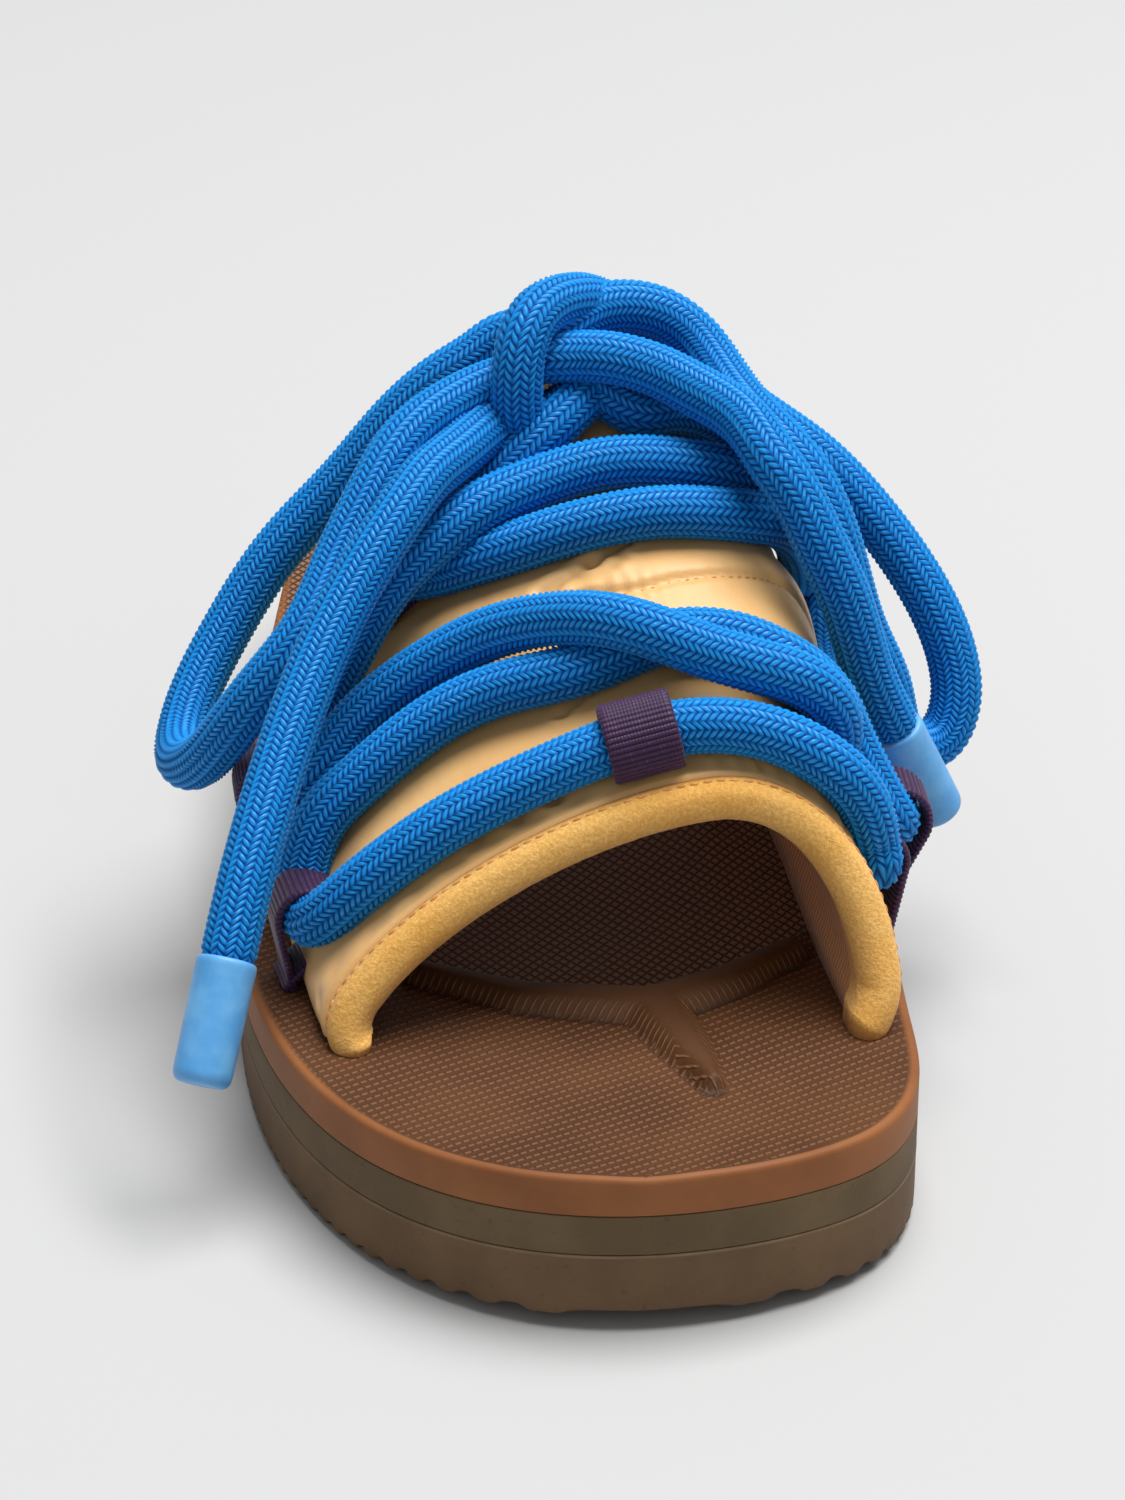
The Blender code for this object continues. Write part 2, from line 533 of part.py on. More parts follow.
LOOKS = {
    "outsole_foam": ((0.130, 0.082, 0.045), 0.75),
    "midsole_foam": ((0.115, 0.080, 0.045), 0.75),
    "footbed_foam": ((0.140, 0.055, 0.026), 0.55),
    "nylon": ((0.870, 0.510, 0.190), 0.45),
    "suede": ((0.830, 0.460, 0.100), 0.95),
    "webbing": ((0.045, 0.010, 0.060), 0.7),
    "rope": ((0.007, 0.140, 0.515), 0.6),
    "aglet_plastic": ((0.062, 0.283, 0.615), 0.4)}


def mesh_object(name, verts, faces, look):
    mesh = bpy.data.meshes.new(name)
    mesh.from_pydata((np.asarray(verts) * MM).tolist(), [], faces)
    work = bmesh.new()
    work.from_mesh(mesh)
    bmesh.ops.recalc_face_normals(work, faces=work.faces)
    work.to_mesh(mesh)
    work.free()
    mesh.materials.append(material(look, *LOOKS[look]))
    obj = bpy.data.objects.new(name, mesh)
    bpy.context.scene.collection.objects.link(obj)
    return obj


def joined(name, first, second, look):
    # one closed body from two that cross
    a = mesh_object(name, first[0], first[1], look)
    b = mesh_object(name + "_other", second[0], second[1], look)
    mod = a.modifiers.new("join", "BOOLEAN")
    mod.operation = "UNION"
    mod.solver = "EXACT"
    mod.object = b
    bpy.context.view_layer.update()
    done = bpy.data.meshes.new_from_object(a.evaluated_get(bpy.context.evaluated_depsgraph_get()))
    a.modifiers.clear()
    a.data = done
    bpy.data.objects.remove(b, do_unlink=True)
    return a


def cord_object(name, points, look):
    data = bpy.data.curves.new(name, "CURVE")
    data.dimensions = "3D"
    data.bevel_depth = ROPE_RADIUS * MM
    data.bevel_resolution = CORD_RESOLUTION
    data.use_fill_caps = True
    line = data.splines.new("POLY")
    line.points.add(len(points) - 1)
    for p, (x, y, z) in zip(line.points, points * MM):
        p.co = (x, y, z, 1.0)
    data.materials.append(material(look, *LOOKS[look]))
    obj = bpy.data.objects.new(name, data)
    bpy.context.scene.collection.objects.link(obj)
    return obj


# Sole layers
TOE_ROWS = TOE_Y + np.array([END_MARGIN, 1.2, 2.8, 5.0, 8.0, 11.5, 15.5, 20.0, 24.0])
BAR_ROWS = np.arange(27.0, 76.0, 3.0)
LONG_ROWS = np.arange(82.0, 262.0, 9.0)
HEEL_ROWS = HEEL_Y - np.array([19.0, 14.0, 10.0, 6.8, 4.2, 2.2, 1.0, END_MARGIN])
FOOT_ROWS = np.concatenate([TOE_ROWS, BAR_ROWS, LONG_ROWS, HEEL_ROWS])
PLAIN_ROWS = np.concatenate([TOE_ROWS, np.arange(30.0, 262.0, 9.0), HEEL_ROWS])
FOOT_SHARES = np.array([0.0, 0.015, 0.06, 0.13, 0.20, 0.27, 0.33, 0.39, 0.45, 0.51, 0.57, 0.63, 0.69, 0.75,
                        0.81, 0.87, 0.94, 0.985, 1.0])
BOTH_SIDES = np.array([0.0, 1.0])
LUGS = lug_rows()

pieces = {
    "outsole": (slab(LUGS[:, 0], BOTH_SIDES, lambda x, y: outsole_line(y),
                     lambda y: floor_line(y) + np.interp(y, LUGS[:, 0], LUGS[:, 1])), "outsole_foam"),
    "midsole": (slab(PLAIN_ROWS, BOTH_SIDES, lambda x, y: midsole_line(y),
                     lambda y: outsole_line(y) + GAP), "midsole_foam"),
    "footbed": (slab(FOOT_ROWS, FOOT_SHARES, footbed_top, lambda y: midsole_line(y) + GAP), "footbed_foam"),
    "upper": (upper_shell(), "nylon"),
    "toe_binding": (binding_roll(), "suede"),
    "loop_top": (top_loop(), "webbing")}
for loop_name, at_u, at_v, loop_width, root_at, root_offset in SIDE_LOOPS:
    pieces[loop_name] = (side_loop(at_u, at_v, loop_width, root_at, root_offset), "webbing")


def bar_tube(rows):
    path = resample(lace_points(rows), ROPE_STEP)
    return tube(path, np.full(len(path), ROPE_RADIUS), ROPE_SIDES)


bars = {
    "lace_front": (bar_tube(BAR_FRONT), None),
    "lace_middle": (bar_tube(BAR_C), bar_tube(BAR_A)),
    "lace_upper": (bar_tube(BAR_E), bar_tube(BAR_D)),
    "lace_rear_left": (bar_tube(BAR_K1), None),
    "lace_rear_right": (bar_tube(BAR_K2), None)}

# Origin at the middle of the box round everything but the free lace
solid = [p[0][0] for p in pieces.values()] + [t[0] for pair in bars.values() for t in pair if t is not None]
low = np.min([s.min(axis=0) for s in solid], axis=0)
high = np.max([s.max(axis=0) for s in solid], axis=0)
SHIFT = np.array([-0.5 * (low[0] + high[0]), -0.5 * (low[1] + high[1]), -low[2]])

for piece_name, ((piece_verts, piece_faces), piece_look) in pieces.items():
    mesh_object(piece_name, piece_verts + SHIFT, piece_faces, piece_look)
for bar_name, (one, two) in bars.items():
    if two is None:
        mesh_object(bar_name, one[0] + SHIFT, one[1], "rope")
    else:
        joined(bar_name, (one[0] + SHIFT, one[1]), (two[0] + SHIFT, two[1]), "rope")
ring, core = knot_parts()
joined("lace_knot", (ring[0] + SHIFT, ring[1]), (core[0] + SHIFT, core[1]), "rope")
for cord_name, route, tip_name in (("lace_loop_left", LOOP_LEFT, None), ("lace_loop_right", LOOP_RIGHT, None),
                                   ("lace_end_left", END_LEFT, "aglet_left"),
                                   ("lace_end_right", END_RIGHT, "aglet_right")):
    run = resample(spline(route, 200), CORD_STEP) + SHIFT
    cord_object(cord_name, run, "rope")
    if tip_name:
        tip_verts, tip_faces = aglet(run[-1], run[-2])
        mesh_object(tip_name, tip_verts, tip_faces, "aglet_plastic")
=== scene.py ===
import bpy
import numpy as np
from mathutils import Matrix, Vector


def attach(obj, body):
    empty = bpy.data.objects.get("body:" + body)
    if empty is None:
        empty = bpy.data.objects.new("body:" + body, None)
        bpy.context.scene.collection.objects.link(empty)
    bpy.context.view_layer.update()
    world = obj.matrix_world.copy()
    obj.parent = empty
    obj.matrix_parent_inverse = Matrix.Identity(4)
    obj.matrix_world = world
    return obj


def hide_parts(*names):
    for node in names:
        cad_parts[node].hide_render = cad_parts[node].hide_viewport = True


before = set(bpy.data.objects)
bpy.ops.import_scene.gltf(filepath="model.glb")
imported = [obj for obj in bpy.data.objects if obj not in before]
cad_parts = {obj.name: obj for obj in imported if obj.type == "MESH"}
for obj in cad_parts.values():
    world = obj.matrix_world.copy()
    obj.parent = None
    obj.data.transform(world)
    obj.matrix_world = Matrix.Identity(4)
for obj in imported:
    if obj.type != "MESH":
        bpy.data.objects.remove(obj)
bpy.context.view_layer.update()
scene = bpy.context.scene
millimetre = 0.001
tipToFrame = np.array([-6.8418, -141.9992, 0.0])  # tables below are in mm from the toe tip
rng = np.random.default_rng(11)


def toFrame(points):
    return (np.asarray(points, float) + tipToFrame) * millimetre


def linear(red, green, blue):  # screen colour 0..255 to light
    value = np.array([red, green, blue]) / 255.0
    return tuple(np.where(value <= 0.04045, value / 12.92, ((value + 0.055) / 1.055) ** 2.4)) + (1.0,)


def ease(t):
    t = np.clip(t, 0.0, 1.0)
    return t * t * (3.0 - 2.0 * t)


def unit(rows):
    return rows / np.linalg.norm(rows, axis=-1, keepdims=True)


# natural or closed cubic through the rows, read at even steps of chord length
def splineThrough(rows, count, closed=False):
    rows = np.asarray(rows, float)
    pts = np.vstack([rows, rows[:1]]) if closed else rows
    chord = np.linalg.norm(np.diff(pts, axis=0), axis=1)
    knots = np.concatenate([[0.0], np.cumsum(chord)])
    n = len(pts)
    lhs = np.diag(np.concatenate([[1.0], 2.0 * (chord[:-1] + chord[1:]), [1.0]]))
    lhs += np.diag(np.concatenate([chord[:-1], [0.0]]), -1) + np.diag(np.concatenate([[0.0], chord[1:]]), 1)
    slope = np.diff(pts, axis=0) / chord[:, None]
    rhs = np.zeros((n, pts.shape[1]))
    rhs[1:-1] = 6.0 * np.diff(slope, axis=0)
    if closed:
        lhs[0, 0], lhs[0, -1] = 1.0, -1.0
        lhs[-1] = 0.0
        lhs[-1, [0, 1, -2, -1]] = 2.0 * chord[0], chord[0], chord[-1], 2.0 * chord[-1]
        rhs[-1] = 6.0 * (slope[0] - slope[-1])
    bend = np.linalg.solve(lhs, rhs)
    at = np.linspace(0.0, knots[-1], count)
    k = np.clip(np.searchsorted(knots, at, side="right") - 1, 0, n - 2)
    h = chord[k][:, None]
    b = (at - knots[k])[:, None] / h
    a = 1.0 - b
    return a * pts[k] + b * pts[k + 1] + ((a ** 3 - a) * bend[k] + (b ** 3 - b) * bend[k + 1]) * h * h / 6.0


def lengthAlong(points):
    return np.concatenate([[0.0], np.cumsum(np.linalg.norm(np.diff(points, axis=0), axis=1))])


def readAlong(at, run, line):
    return np.stack([np.interp(at, run, line[:, c]) for c in range(line.shape[1])], -1)


# distance of each point to the nearest of the others, in blocks
def nearest(points, others):
    far = [np.sqrt(((block[:, None, :] - others[None]) ** 2).sum(-1).min(1))
           for block in np.array_split(points, 60)]
    return np.concatenate(far)


# share along a line from the origin to (dx, dy), and distance from it
def toLine(x, y, dx, dy):
    t = np.clip((x * dx + y * dy) / (dx * dx + dy * dy), 0.0, 1.0)
    return t, np.hypot(x - t * dx, y - t * dy)


def evenSteps(points, step):
    run = lengthAlong(points)
    at = np.linspace(0.0, run[-1], max(4, int(round(run[-1] / step)) + 1))
    return readAlong(at, run, points)


# corner numbers of the quads of a grid whose columns close to a ring
def gridQuads(rows, columns):
    i = np.arange(rows - 1)[:, None] * columns
    j = np.arange(columns)[None, :]
    j2 = (j + 1) % columns
    return np.stack([i + j, i + j2, i + columns + j2, i + columns + j], -1).reshape(-1, 4)


# corner numbers of the faces that close the first and last row of such a grid
def endCaps(rows, columns):
    return [np.arange(columns)[::-1], np.arange(columns) + (rows - 1) * columns]


def makePiece(name, points, quads, finishes, caps=(), uv=None, marks=None, facePick=None):
    corners = np.concatenate([quads.ravel()] + [np.asarray(c).ravel() for c in caps]).astype(np.int32)
    sizes = np.concatenate([np.full(len(quads), 4), [len(c) for c in caps]]).astype(np.int32)
    mesh = bpy.data.meshes.new(name)
    mesh.vertices.add(len(points))
    mesh.vertices.foreach_set("co", toFrame(points).astype(np.float32).ravel())
    mesh.loops.add(len(corners))
    mesh.loops.foreach_set("vertex_index", corners)
    mesh.polygons.add(len(sizes))
    mesh.polygons.foreach_set("loop_start", np.concatenate([[0], np.cumsum(sizes)[:-1]]).astype(np.int32))
    mesh.polygons.foreach_set("use_smooth", np.ones(len(sizes), dtype=bool))
    if facePick is not None:
        pick = np.zeros(len(sizes), dtype=np.int32)
        pick[:len(facePick)] = facePick
        mesh.polygons.foreach_set("material_index", pick)
    if uv is not None:
        layer = mesh.uv_layers.new(name="cloth")
        layer.uv.foreach_set("vector", np.asarray(uv, np.float32)[corners].ravel())
    for key, values in (marks or {}).items():
        mark = mesh.attributes.new(key, "FLOAT", "POINT")
        mark.data.foreach_set("value", np.asarray(values, np.float32).ravel())
    mesh.update(calc_edges=True)
    mesh.validate()
    for finish in finishes:
        mesh.materials.append(finish)
    piece = bpy.data.objects.new(name, mesh)
    scene.collection.objects.link(piece)
    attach(piece, "root")
    return piece


# closed tube from a grid of points, rows along it and columns round it
def makeTube(name, points, finish, uv=None, marks=None):
    size = points.shape[:2]
    return makePiece(name, points.reshape(-1, 3), gridQuads(*size), [finish], endCaps(*size), uv,
                     marks)


# frames carried along a path without twist
def carriedFrames(path):
    tangent = unit(np.gradient(path, axis=0))
    side = np.zeros_like(path)
    side[0] = unit(np.cross(tangent[0], (0.3, 0.2, 0.93)))
    for k in range(1, len(path)):
        side[k] = unit(side[k - 1] - tangent[k] * np.dot(side[k - 1], tangent[k]))
    return side, np.cross(tangent, side)


# node helpers
def newFinish(name, rough, **sockets):
    finish = bpy.data.materials.new(name)
    finish.use_nodes = True
    shader = finish.node_tree.nodes["Principled BSDF"]
    shader.inputs["Roughness"].default_value = rough
    for key, value in sockets.items():
        shader.inputs[key.replace("_", " ")].default_value = value
    return finish, finish.node_tree, shader


def dress(tree, shader, tone, normal):
    tree.links.new(tone, shader.inputs["Base Color"])
    tree.links.new(normal, shader.inputs["Normal"])


def feed(tree, socket, value):
    if isinstance(value, bpy.types.NodeSocket):
        tree.links.new(value, socket)
    else:
        socket.default_value = value


def calc(tree, kind, *values):
    node = tree.nodes.new("ShaderNodeMath")
    node.operation = kind
    for socket, value in zip(node.inputs, values):
        feed(tree, socket, value)
    return node.outputs[0]


def times(tree, first, second):
    return calc(tree, "MULTIPLY", first, second)


def noise(tree, where, scale, detail=3.0, rough=0.55):
    node = tree.nodes.new("ShaderNodeTexNoise")
    for key, value in (("Scale", scale), ("Detail", detail), ("Roughness", rough), ("Vector", where)):
        feed(tree, node.inputs[key], value)
    return node.outputs["Fac"]


# from the first to the second colour, each a socket or a screen colour
def blendColour(tree, share, first, second):
    node = tree.nodes.new("ShaderNodeMix")
    node.data_type = "RGBA"
    feed(tree, node.inputs[0], share)
    for socket, value in ((node.inputs[6], first), (node.inputs[7], second)):
        feed(tree, socket, linear(*value) if isinstance(value, tuple) else value)
    return node.outputs[2]


def bump(tree, height, strength, distance, before=None):
    node = tree.nodes.new("ShaderNodeBump")
    node.inputs["Strength"].default_value = strength
    node.inputs["Distance"].default_value = distance
    tree.links.new(height, node.inputs["Height"])
    if before is not None:
        tree.links.new(before, node.inputs["Normal"])
    return node.outputs[0]


def spread(tree, value, low, high, toLow=0.0, toHigh=1.0):
    node = tree.nodes.new("ShaderNodeMapRange")
    node.interpolation_type = "SMOOTHSTEP"
    tree.links.new(value, node.inputs["Value"])
    for key, number in (("From Min", low), ("From Max", high), ("To Min", toLow), ("To Max", toHigh)):
        node.inputs[key].default_value = number
    return node.outputs[0]


def objectPlace(tree):
    return tree.nodes.new("ShaderNodeTexCoord").outputs["Object"]


def markValue(tree, key):
    node = tree.nodes.new("ShaderNodeAttribute")
    node.attribute_name = key
    return node.outputs["Fac"]


def parts(tree, vector):
    node = tree.nodes.new("ShaderNodeSeparateXYZ")
    tree.links.new(vector, node.inputs[0])
    return node.outputs


def clothPlace(tree):
    node = tree.nodes.new("ShaderNodeUVMap")
    node.uv_map = "cloth"
    return node.outputs[0]


# camera: the photo's own place, turned to the one shoe
cameraSetting = {"place": (-38.3, -473.1, 318.0), "aim": (4.0, 92.0, 52.0), "lens": 92.0}
camera = bpy.data.objects.new("camera", bpy.data.cameras.new("camera"))
camera.data.sensor_fit = "VERTICAL"
camera.data.sensor_height = 36.0
camera.data.lens = cameraSetting["lens"]
camera.location = toFrame(cameraSetting["place"])
look = Vector(toFrame(cameraSetting["aim"]) - toFrame(cameraSetting["place"]))
camera.rotation_euler = look.to_track_quat("-Z", "Y").to_euler()
scene.collection.objects.link(camera)
scene.camera = camera

# sole outline and height lines
soleSetting = {"wall": 24.0, "outsoleShare": 0.45, "midsoleShare": 0.275, "spring": 2.5,
               "springLength": 45.0, "heelLift": 7.0, "liftFrom": 60.0, "liftTo": 250.0, "heelBevel": 2.0,
               "heelBevelLength": 20.0, "ripplePitch": 3.75, "rippleDepth": 0.9, "rowEnd": 0.3,
               "rowStep": 0.75}
outlineRows = np.array([
    (9.0, 0.0), (24.0, 2.0), (35.5, 6.3), (45.0, 12.9), (53.0, 26.5), (55.8, 50.0), (57.0, 80.0),
    (54.8, 130.0), (49.0, 175.0), (44.8, 215.0), (40.0, 252.0), (25.5, 276.5), (3.0, 284.0),
    (-19.5, 276.5), (-35.0, 252.0), (-41.5, 215.0), (-46.8, 165.0), (-50.2, 110.0), (-47.2, 62.0),
    (-39.0, 36.0), (-24.0, 13.9), (-8.0, 3.3)])
edge = splineThrough(outlineRows, 4001, closed=True)[:-1]
edge = np.roll(edge, -int(np.argmin(edge[:, 1])), axis=0)
backAt = int(np.argmax(edge[:, 1]))
medialEdge = edge[:backAt + 1]
lateralEdge = np.vstack([edge[backAt:], edge[:1]])[::-1]
toeY, heelY = edge[0, 1], edge[backAt, 1]


def sideX(y):
    return [np.interp(y, line[:, 1], line[:, 0]) for line in (lateralEdge, medialEdge)]


def springLine(y):
    return soleSetting["spring"] * np.clip(1.0 - (y - toeY) / soleSetting["springLength"], 0.0, 1.0) ** 2


def floorLine(y):
    bevel = np.clip((y - heelY + soleSetting["heelBevelLength"]) / soleSetting["heelBevelLength"], 0.0, 1.0)
    return springLine(y) + soleSetting["heelBevel"] * bevel ** 2


def wedge(y):
    share = (y - soleSetting["liftFrom"]) / (soleSetting["liftTo"] - soleSetting["liftFrom"])
    return soleSetting["heelLift"] * ease(share)


def rimLine(y):
    return soleSetting["wall"] + springLine(y) + wedge(y)


def outsoleLine(y):
    return soleSetting["outsoleShare"] * soleSetting["wall"] + springLine(y) + 0.25 * wedge(y)


def midsoleLine(y):
    share = soleSetting["outsoleShare"] + soleSetting["midsoleShare"]
    return share * soleSetting["wall"] + springLine(y) + 0.9 * wedge(y)


# upper: two superellipse quarters that meet on the ridge, over a base line
# columns: share, base y, ridge y, lateral x, ridge x, medial x, height, lateral fullness, medial fullness
upperRows = np.array([
    (0.0, 50.0, 60.5, -37.5, 26.0, 52.5, 39.0, 1.55, 2.2),
    (0.25, 74.0, 80.5, -41.5, 24.0, 50.5, 47.5, 1.6, 2.7),
    (0.5, 103.0, 103.5, -43.0, 21.0, 49.0, 56.0, 1.65, 3.0),
    (0.75, 133.0, 126.5, -42.5, 17.0, 46.5, 64.0, 1.7, 2.8),
    (1.0, 163.0, 150.0, -40.0, 13.0, 43.0, 71.5, 1.75, 2.5)])
upperSetting = {"wall": 5.0, "tuck": 2.5, "tuckHeight": 9.0, "baseGap": 0.45, "around": 300, "along": 180,
                "inside": 60, "hem": 10, "front": -0.034, "aroundLength": 165.0, "alongLength": 95.0,
                "dent": 3.2, "dentAt": (0.8, 0.17), "dentReach": 0.1}
fineShare = np.linspace(-0.1, 1.1, 481)
fineRows = np.stack([np.interp(fineShare, upperRows[:, 0], upperRows[:, c]) for c in range(1, 9)], 0)
headSlope = (upperRows[1, 1:] - upperRows[0, 1:]) / 0.25
tailSlope = (upperRows[-1, 1:] - upperRows[-2, 1:]) / 0.25
fineRows += np.minimum(fineShare, 0.0)[None, :] * headSlope[:, None]
fineRows += np.maximum(fineShare - 1.0, 0.0)[None, :] * tailSlope[:, None]
softWeight = np.exp(-np.linspace(-2.0, 2.0, 49) ** 2)
padded = np.pad(fineRows, ((0, 0), (24, 24)), mode="reflect", reflect_type="odd")
fineRows = np.stack([np.convolve(r, softWeight / softWeight.sum(), mode="valid") for r in padded], 0)


def upperSkin(u, v):
    u, v = np.broadcast_arrays(u, v)
    base, top, lat, mid, med, high, fullL, fullM = [np.interp(v, fineShare, r) for r in fineRows]
    power = 2.0 / np.where(u < 0.5, fullL, fullM)
    c = np.abs(np.cos(np.pi * u)) ** power
    s = np.clip(np.sin(np.pi * u), 0.0, 1.0) ** power
    z = high * s
    tuck = upperSetting["tuck"] * np.clip(1.0 - z / upperSetting["tuckHeight"], 0.0, 1.0) ** 2
    # a bell-shaped dent where the tight rope presses the medial padding in
    du, dv = [(t - at) / upperSetting["dentReach"] for t, at in zip((u, v), upperSetting["dentAt"])]
    dent = upperSetting["dent"] * np.exp(-(du ** 2) - dv ** 2)
    x = np.where(u < 0.5, mid - (mid - lat) * c + tuck, mid + (med - mid) * c - tuck - dent)
    return np.stack([x, base + (top - base) * s, rimLine(base) + upperSetting["baseGap"] + z], -1)


def upperFrame(u, v):
    u, v = np.broadcast_arrays(u, v)
    step = 0.002
    around = upperSkin(np.minimum(u + step, 1.0), v) - upperSkin(np.maximum(u - step, 0.0), v)
    along = upperSkin(u, v + step) - upperSkin(u, v - step)
    return unit(np.cross(around, along)), unit(along)


# rope: a round tube whose rows of points follow the yarns of a zigzag braid, each yarn a small raised bead
ropeSetting = {"radius": 4.4, "clear": 0.7, "columns": 18, "perColumn": 2, "pitch": 1.14, "perPitch": 3,
               "slant": 1.1, "relief": 0.6, "over": 0.12, "rounding": 3.0, "step": 0.5, "overlap": 24}


def braidTube(name, path, finish):
    path = evenSteps(path, ropeSetting["step"])
    side, up = carriedFrames(path)
    run = lengthAlong(path)
    count = int(round(run[-1] / ropeSetting["pitch"]))
    yarnAt = np.arange(count * ropeSetting["perPitch"] + 1)[:, None] / ropeSetting["perPitch"]
    columnAt = np.arange(ropeSetting["columns"] * ropeSetting["perColumn"])[None, :]
    columnAt = columnAt / ropeSetting["perColumn"]
    zigzag = np.abs(columnAt % 2.0 - 1.0) - 0.5                # triangle wave, one column each way
    fade = ease(np.minimum(yarnAt, count - yarnAt) / 2.0)
    at = np.clip((yarnAt - ropeSetting["slant"] * zigzag * fade) * run[-1] / count, 0.0, run[-1])
    turn = 2.0 * np.pi * columnAt / ropeSetting["columns"] + 0.0 * yarnAt
    yarn = np.abs(np.sin(np.pi * yarnAt)) ** 0.6 * (0.25 + 0.75 * np.abs(np.sin(np.pi * columnAt)) ** 0.6)
    centre, sideAt, upAt = [readAlong(at, run, line) for line in (path, side, up)]
    ring = sideAt * np.cos(turn)[..., None] + upAt * np.sin(turn)[..., None]
    far = np.minimum(at, run[-1] - at)
    cap = np.clip(1.0 - far / ropeSetting["rounding"], 0.0, 1.0)
    cap = np.sqrt(np.clip(1.0 - cap ** 2, 0.02, 1.0))
    reach = cap * (ropeSetting["radius"] + ropeSetting["over"] - ropeSetting["relief"] * (1.0 - yarn))
    points = centre + ring * reach[..., None]
    uv = np.stack([at, turn * ropeSetting["radius"]], -1).reshape(-1, 2) * 0.01
    return makeTube(name, points, finish, uv, {"yarn": yarn}), path


def ropeFinish():
    finish, tree, shader = newFinish("ropeBraid", 0.36, Sheen_Weight=0.02, Sheen_Roughness=0.4,
                                     Specular_IOR_Level=0.3)
    yarn = markValue(tree, "yarn")
    place = objectPlace(tree)
    fibre = noise(tree, place, 1500.0, 2.0)
    # painted shade: the colour darkens into the gaps between the yarns
    tone = blendColour(tree, spread(tree, yarn, 0.0, 0.6), (0, 62, 132), (2, 138, 220))
    # painted highlight: a pale blue glint on the tops of the beads
    paintedHighlight = spread(tree, times(tree, yarn, fibre), 0.4, 0.66)
    tone = blendColour(tree, paintedHighlight, tone, (84, 176, 240))
    tree.links.new(spread(tree, yarn, 0.3, 0.8, 0.95, 0.36), shader.inputs["Roughness"])
    dress(tree, shader, tone, bump(tree, fibre, 0.25, 0.0003))
    return finish


ropeCloth = ropeFinish()

# lace bars on the upper, columns: share around, share along, extra lift
barFront = [
    (0.168, 0.072, -1.2), (0.205, 0.056, -0.6), (0.25, 0.046, 0.0), (0.31, 0.042, 0.0),
    (0.37, 0.045, 0.0), (0.44, 0.05, 0.0), (0.5, 0.042, 0.0), (0.56, 0.034, 0.0), (0.63, 0.027, 0.0),
    (0.71, 0.031, -0.3), (0.76, 0.041, -0.9), (0.8, 0.056, -1.4), (0.84, 0.082, -1.7)]
barOver = [
    (0.165, 0.385, 0.0), (0.2, 0.4, 0.0), (0.24, 0.404, 0.4), (0.285, 0.392, 1.2), (0.335, 0.365, 3.0),
    (0.385, 0.31, 5.6), (0.425, 0.252, 7.4), (0.465, 0.198, 6.6), (0.5, 0.17, 5.2), (0.555, 0.145, 4.4),
    (0.63, 0.147, 3.4), (0.695, 0.155, 0.6), (0.755, 0.172, -2.0), (0.8, 0.19, -3.0)]
barUnder = [
    (0.15, 0.27, 0.0), (0.205, 0.28, 0.0), (0.25, 0.284, 0.0), (0.3, 0.282, 0.0), (0.34, 0.265, 0.0),
    (0.385, 0.244, 0.0), (0.425, 0.25, 0.0), (0.46, 0.262, 0.0), (0.5, 0.262, 0.0), (0.545, 0.252, 0.0),
    (0.59, 0.238, 0.0), (0.65, 0.228, 0.0), (0.72, 0.23, 0.0), (0.775, 0.238, 0.0)]
barRearOver = [
    (0.175, 0.515, 0.4), (0.205, 0.522, 1.6), (0.24, 0.532, 4.0), (0.285, 0.556, 6.8),
    (0.325, 0.586, 6.8), (0.365, 0.62, 5.2), (0.41, 0.652, 2.2), (0.455, 0.665, 0.9), (0.5, 0.664, 0.5),
    (0.54, 0.66, 0.2), (0.585, 0.662, 0.0), (0.622, 0.672, 0.0)]
barRearUnder = [
    (0.84, 0.775, 0.0), (0.8, 0.725, 0.0), (0.74, 0.665, 0.0), (0.68, 0.612, 0.0), (0.615, 0.565, 0.0),
    (0.55, 0.546, 0.0), (0.5, 0.545, 0.0), (0.455, 0.545, 0.0), (0.41, 0.548, 0.0), (0.37, 0.557, -0.2),
    (0.335, 0.575, -0.2), (0.305, 0.598, 0.0)]
barToKnot = [(0.312, 0.694, 0.0), (0.345, 0.714, 0.4), (0.375, 0.74, 1.4), (0.393, 0.758, 2.0)]
barFromKnot = [(0.58, 0.808, 0.0), (0.562, 0.805, 0.0), (0.542, 0.799, 0.0), (0.52, 0.79, 0.0)]

# side loops: share around, share along, width, root share around, root offset
sideLoops = {"loop_lateral_front": (0.1, 0.185, 9.0, 0.0, 4.2),
             "loop_lateral_mid": (0.12, 0.455, 9.0, 0.0, 4.8),
             "loop_lateral_rear": (0.275, 0.65, 9.0, 0.19, 3.0),
             "loop_medial_front": (0.885, 0.128, 8.0, 1.0, 4.0),
             "loop_medial_mid": (0.905, 0.27, 9.0, 1.0, 5.0),
             "loop_medial_rear": (0.9, 0.87, 9.0, 1.0, 5.6)}
webSetting = {"thick": 1.1, "clear": 0.8, "loopClear": 1.0, "tight": 0.6, "topWidth": 11.4,
              "topAt": (0.42, 0.048), "topTurn": (-38.0, 218.0), "arcSteps": 40, "footSpread": 0.7,
              "rib": 0.85, "ribHeight": 0.26, "ribMiddle": 0.6, "facePoints": 17, "edgePower": 24}
loopRadius = ropeSetting["radius"] + webSetting["clear"] + webSetting["thick"]
# pulled into the padding by the tight rope
loopSink = {"loop_medial_front": 5.0, "loop_lateral_front": 4.6}


def loopCentre(name):
    u, v = sideLoops[name][:2]
    out, along = upperFrame(u, v)
    run = np.array([along[0], along[1], 0.0])
    far = loopRadius + webSetting["loopClear"] - loopSink.get(name, 0.0)
    return upperSkin(u, v) + out * far, unit(run)


# the rope turns back through a side loop: bar end, through the ring along the wall, next bar
def turnThrough(name, sign=1.0):
    centre, run = loopCentre(name)
    return np.stack([centre - sign * run * 3.0, centre, centre + sign * run * 3.0])


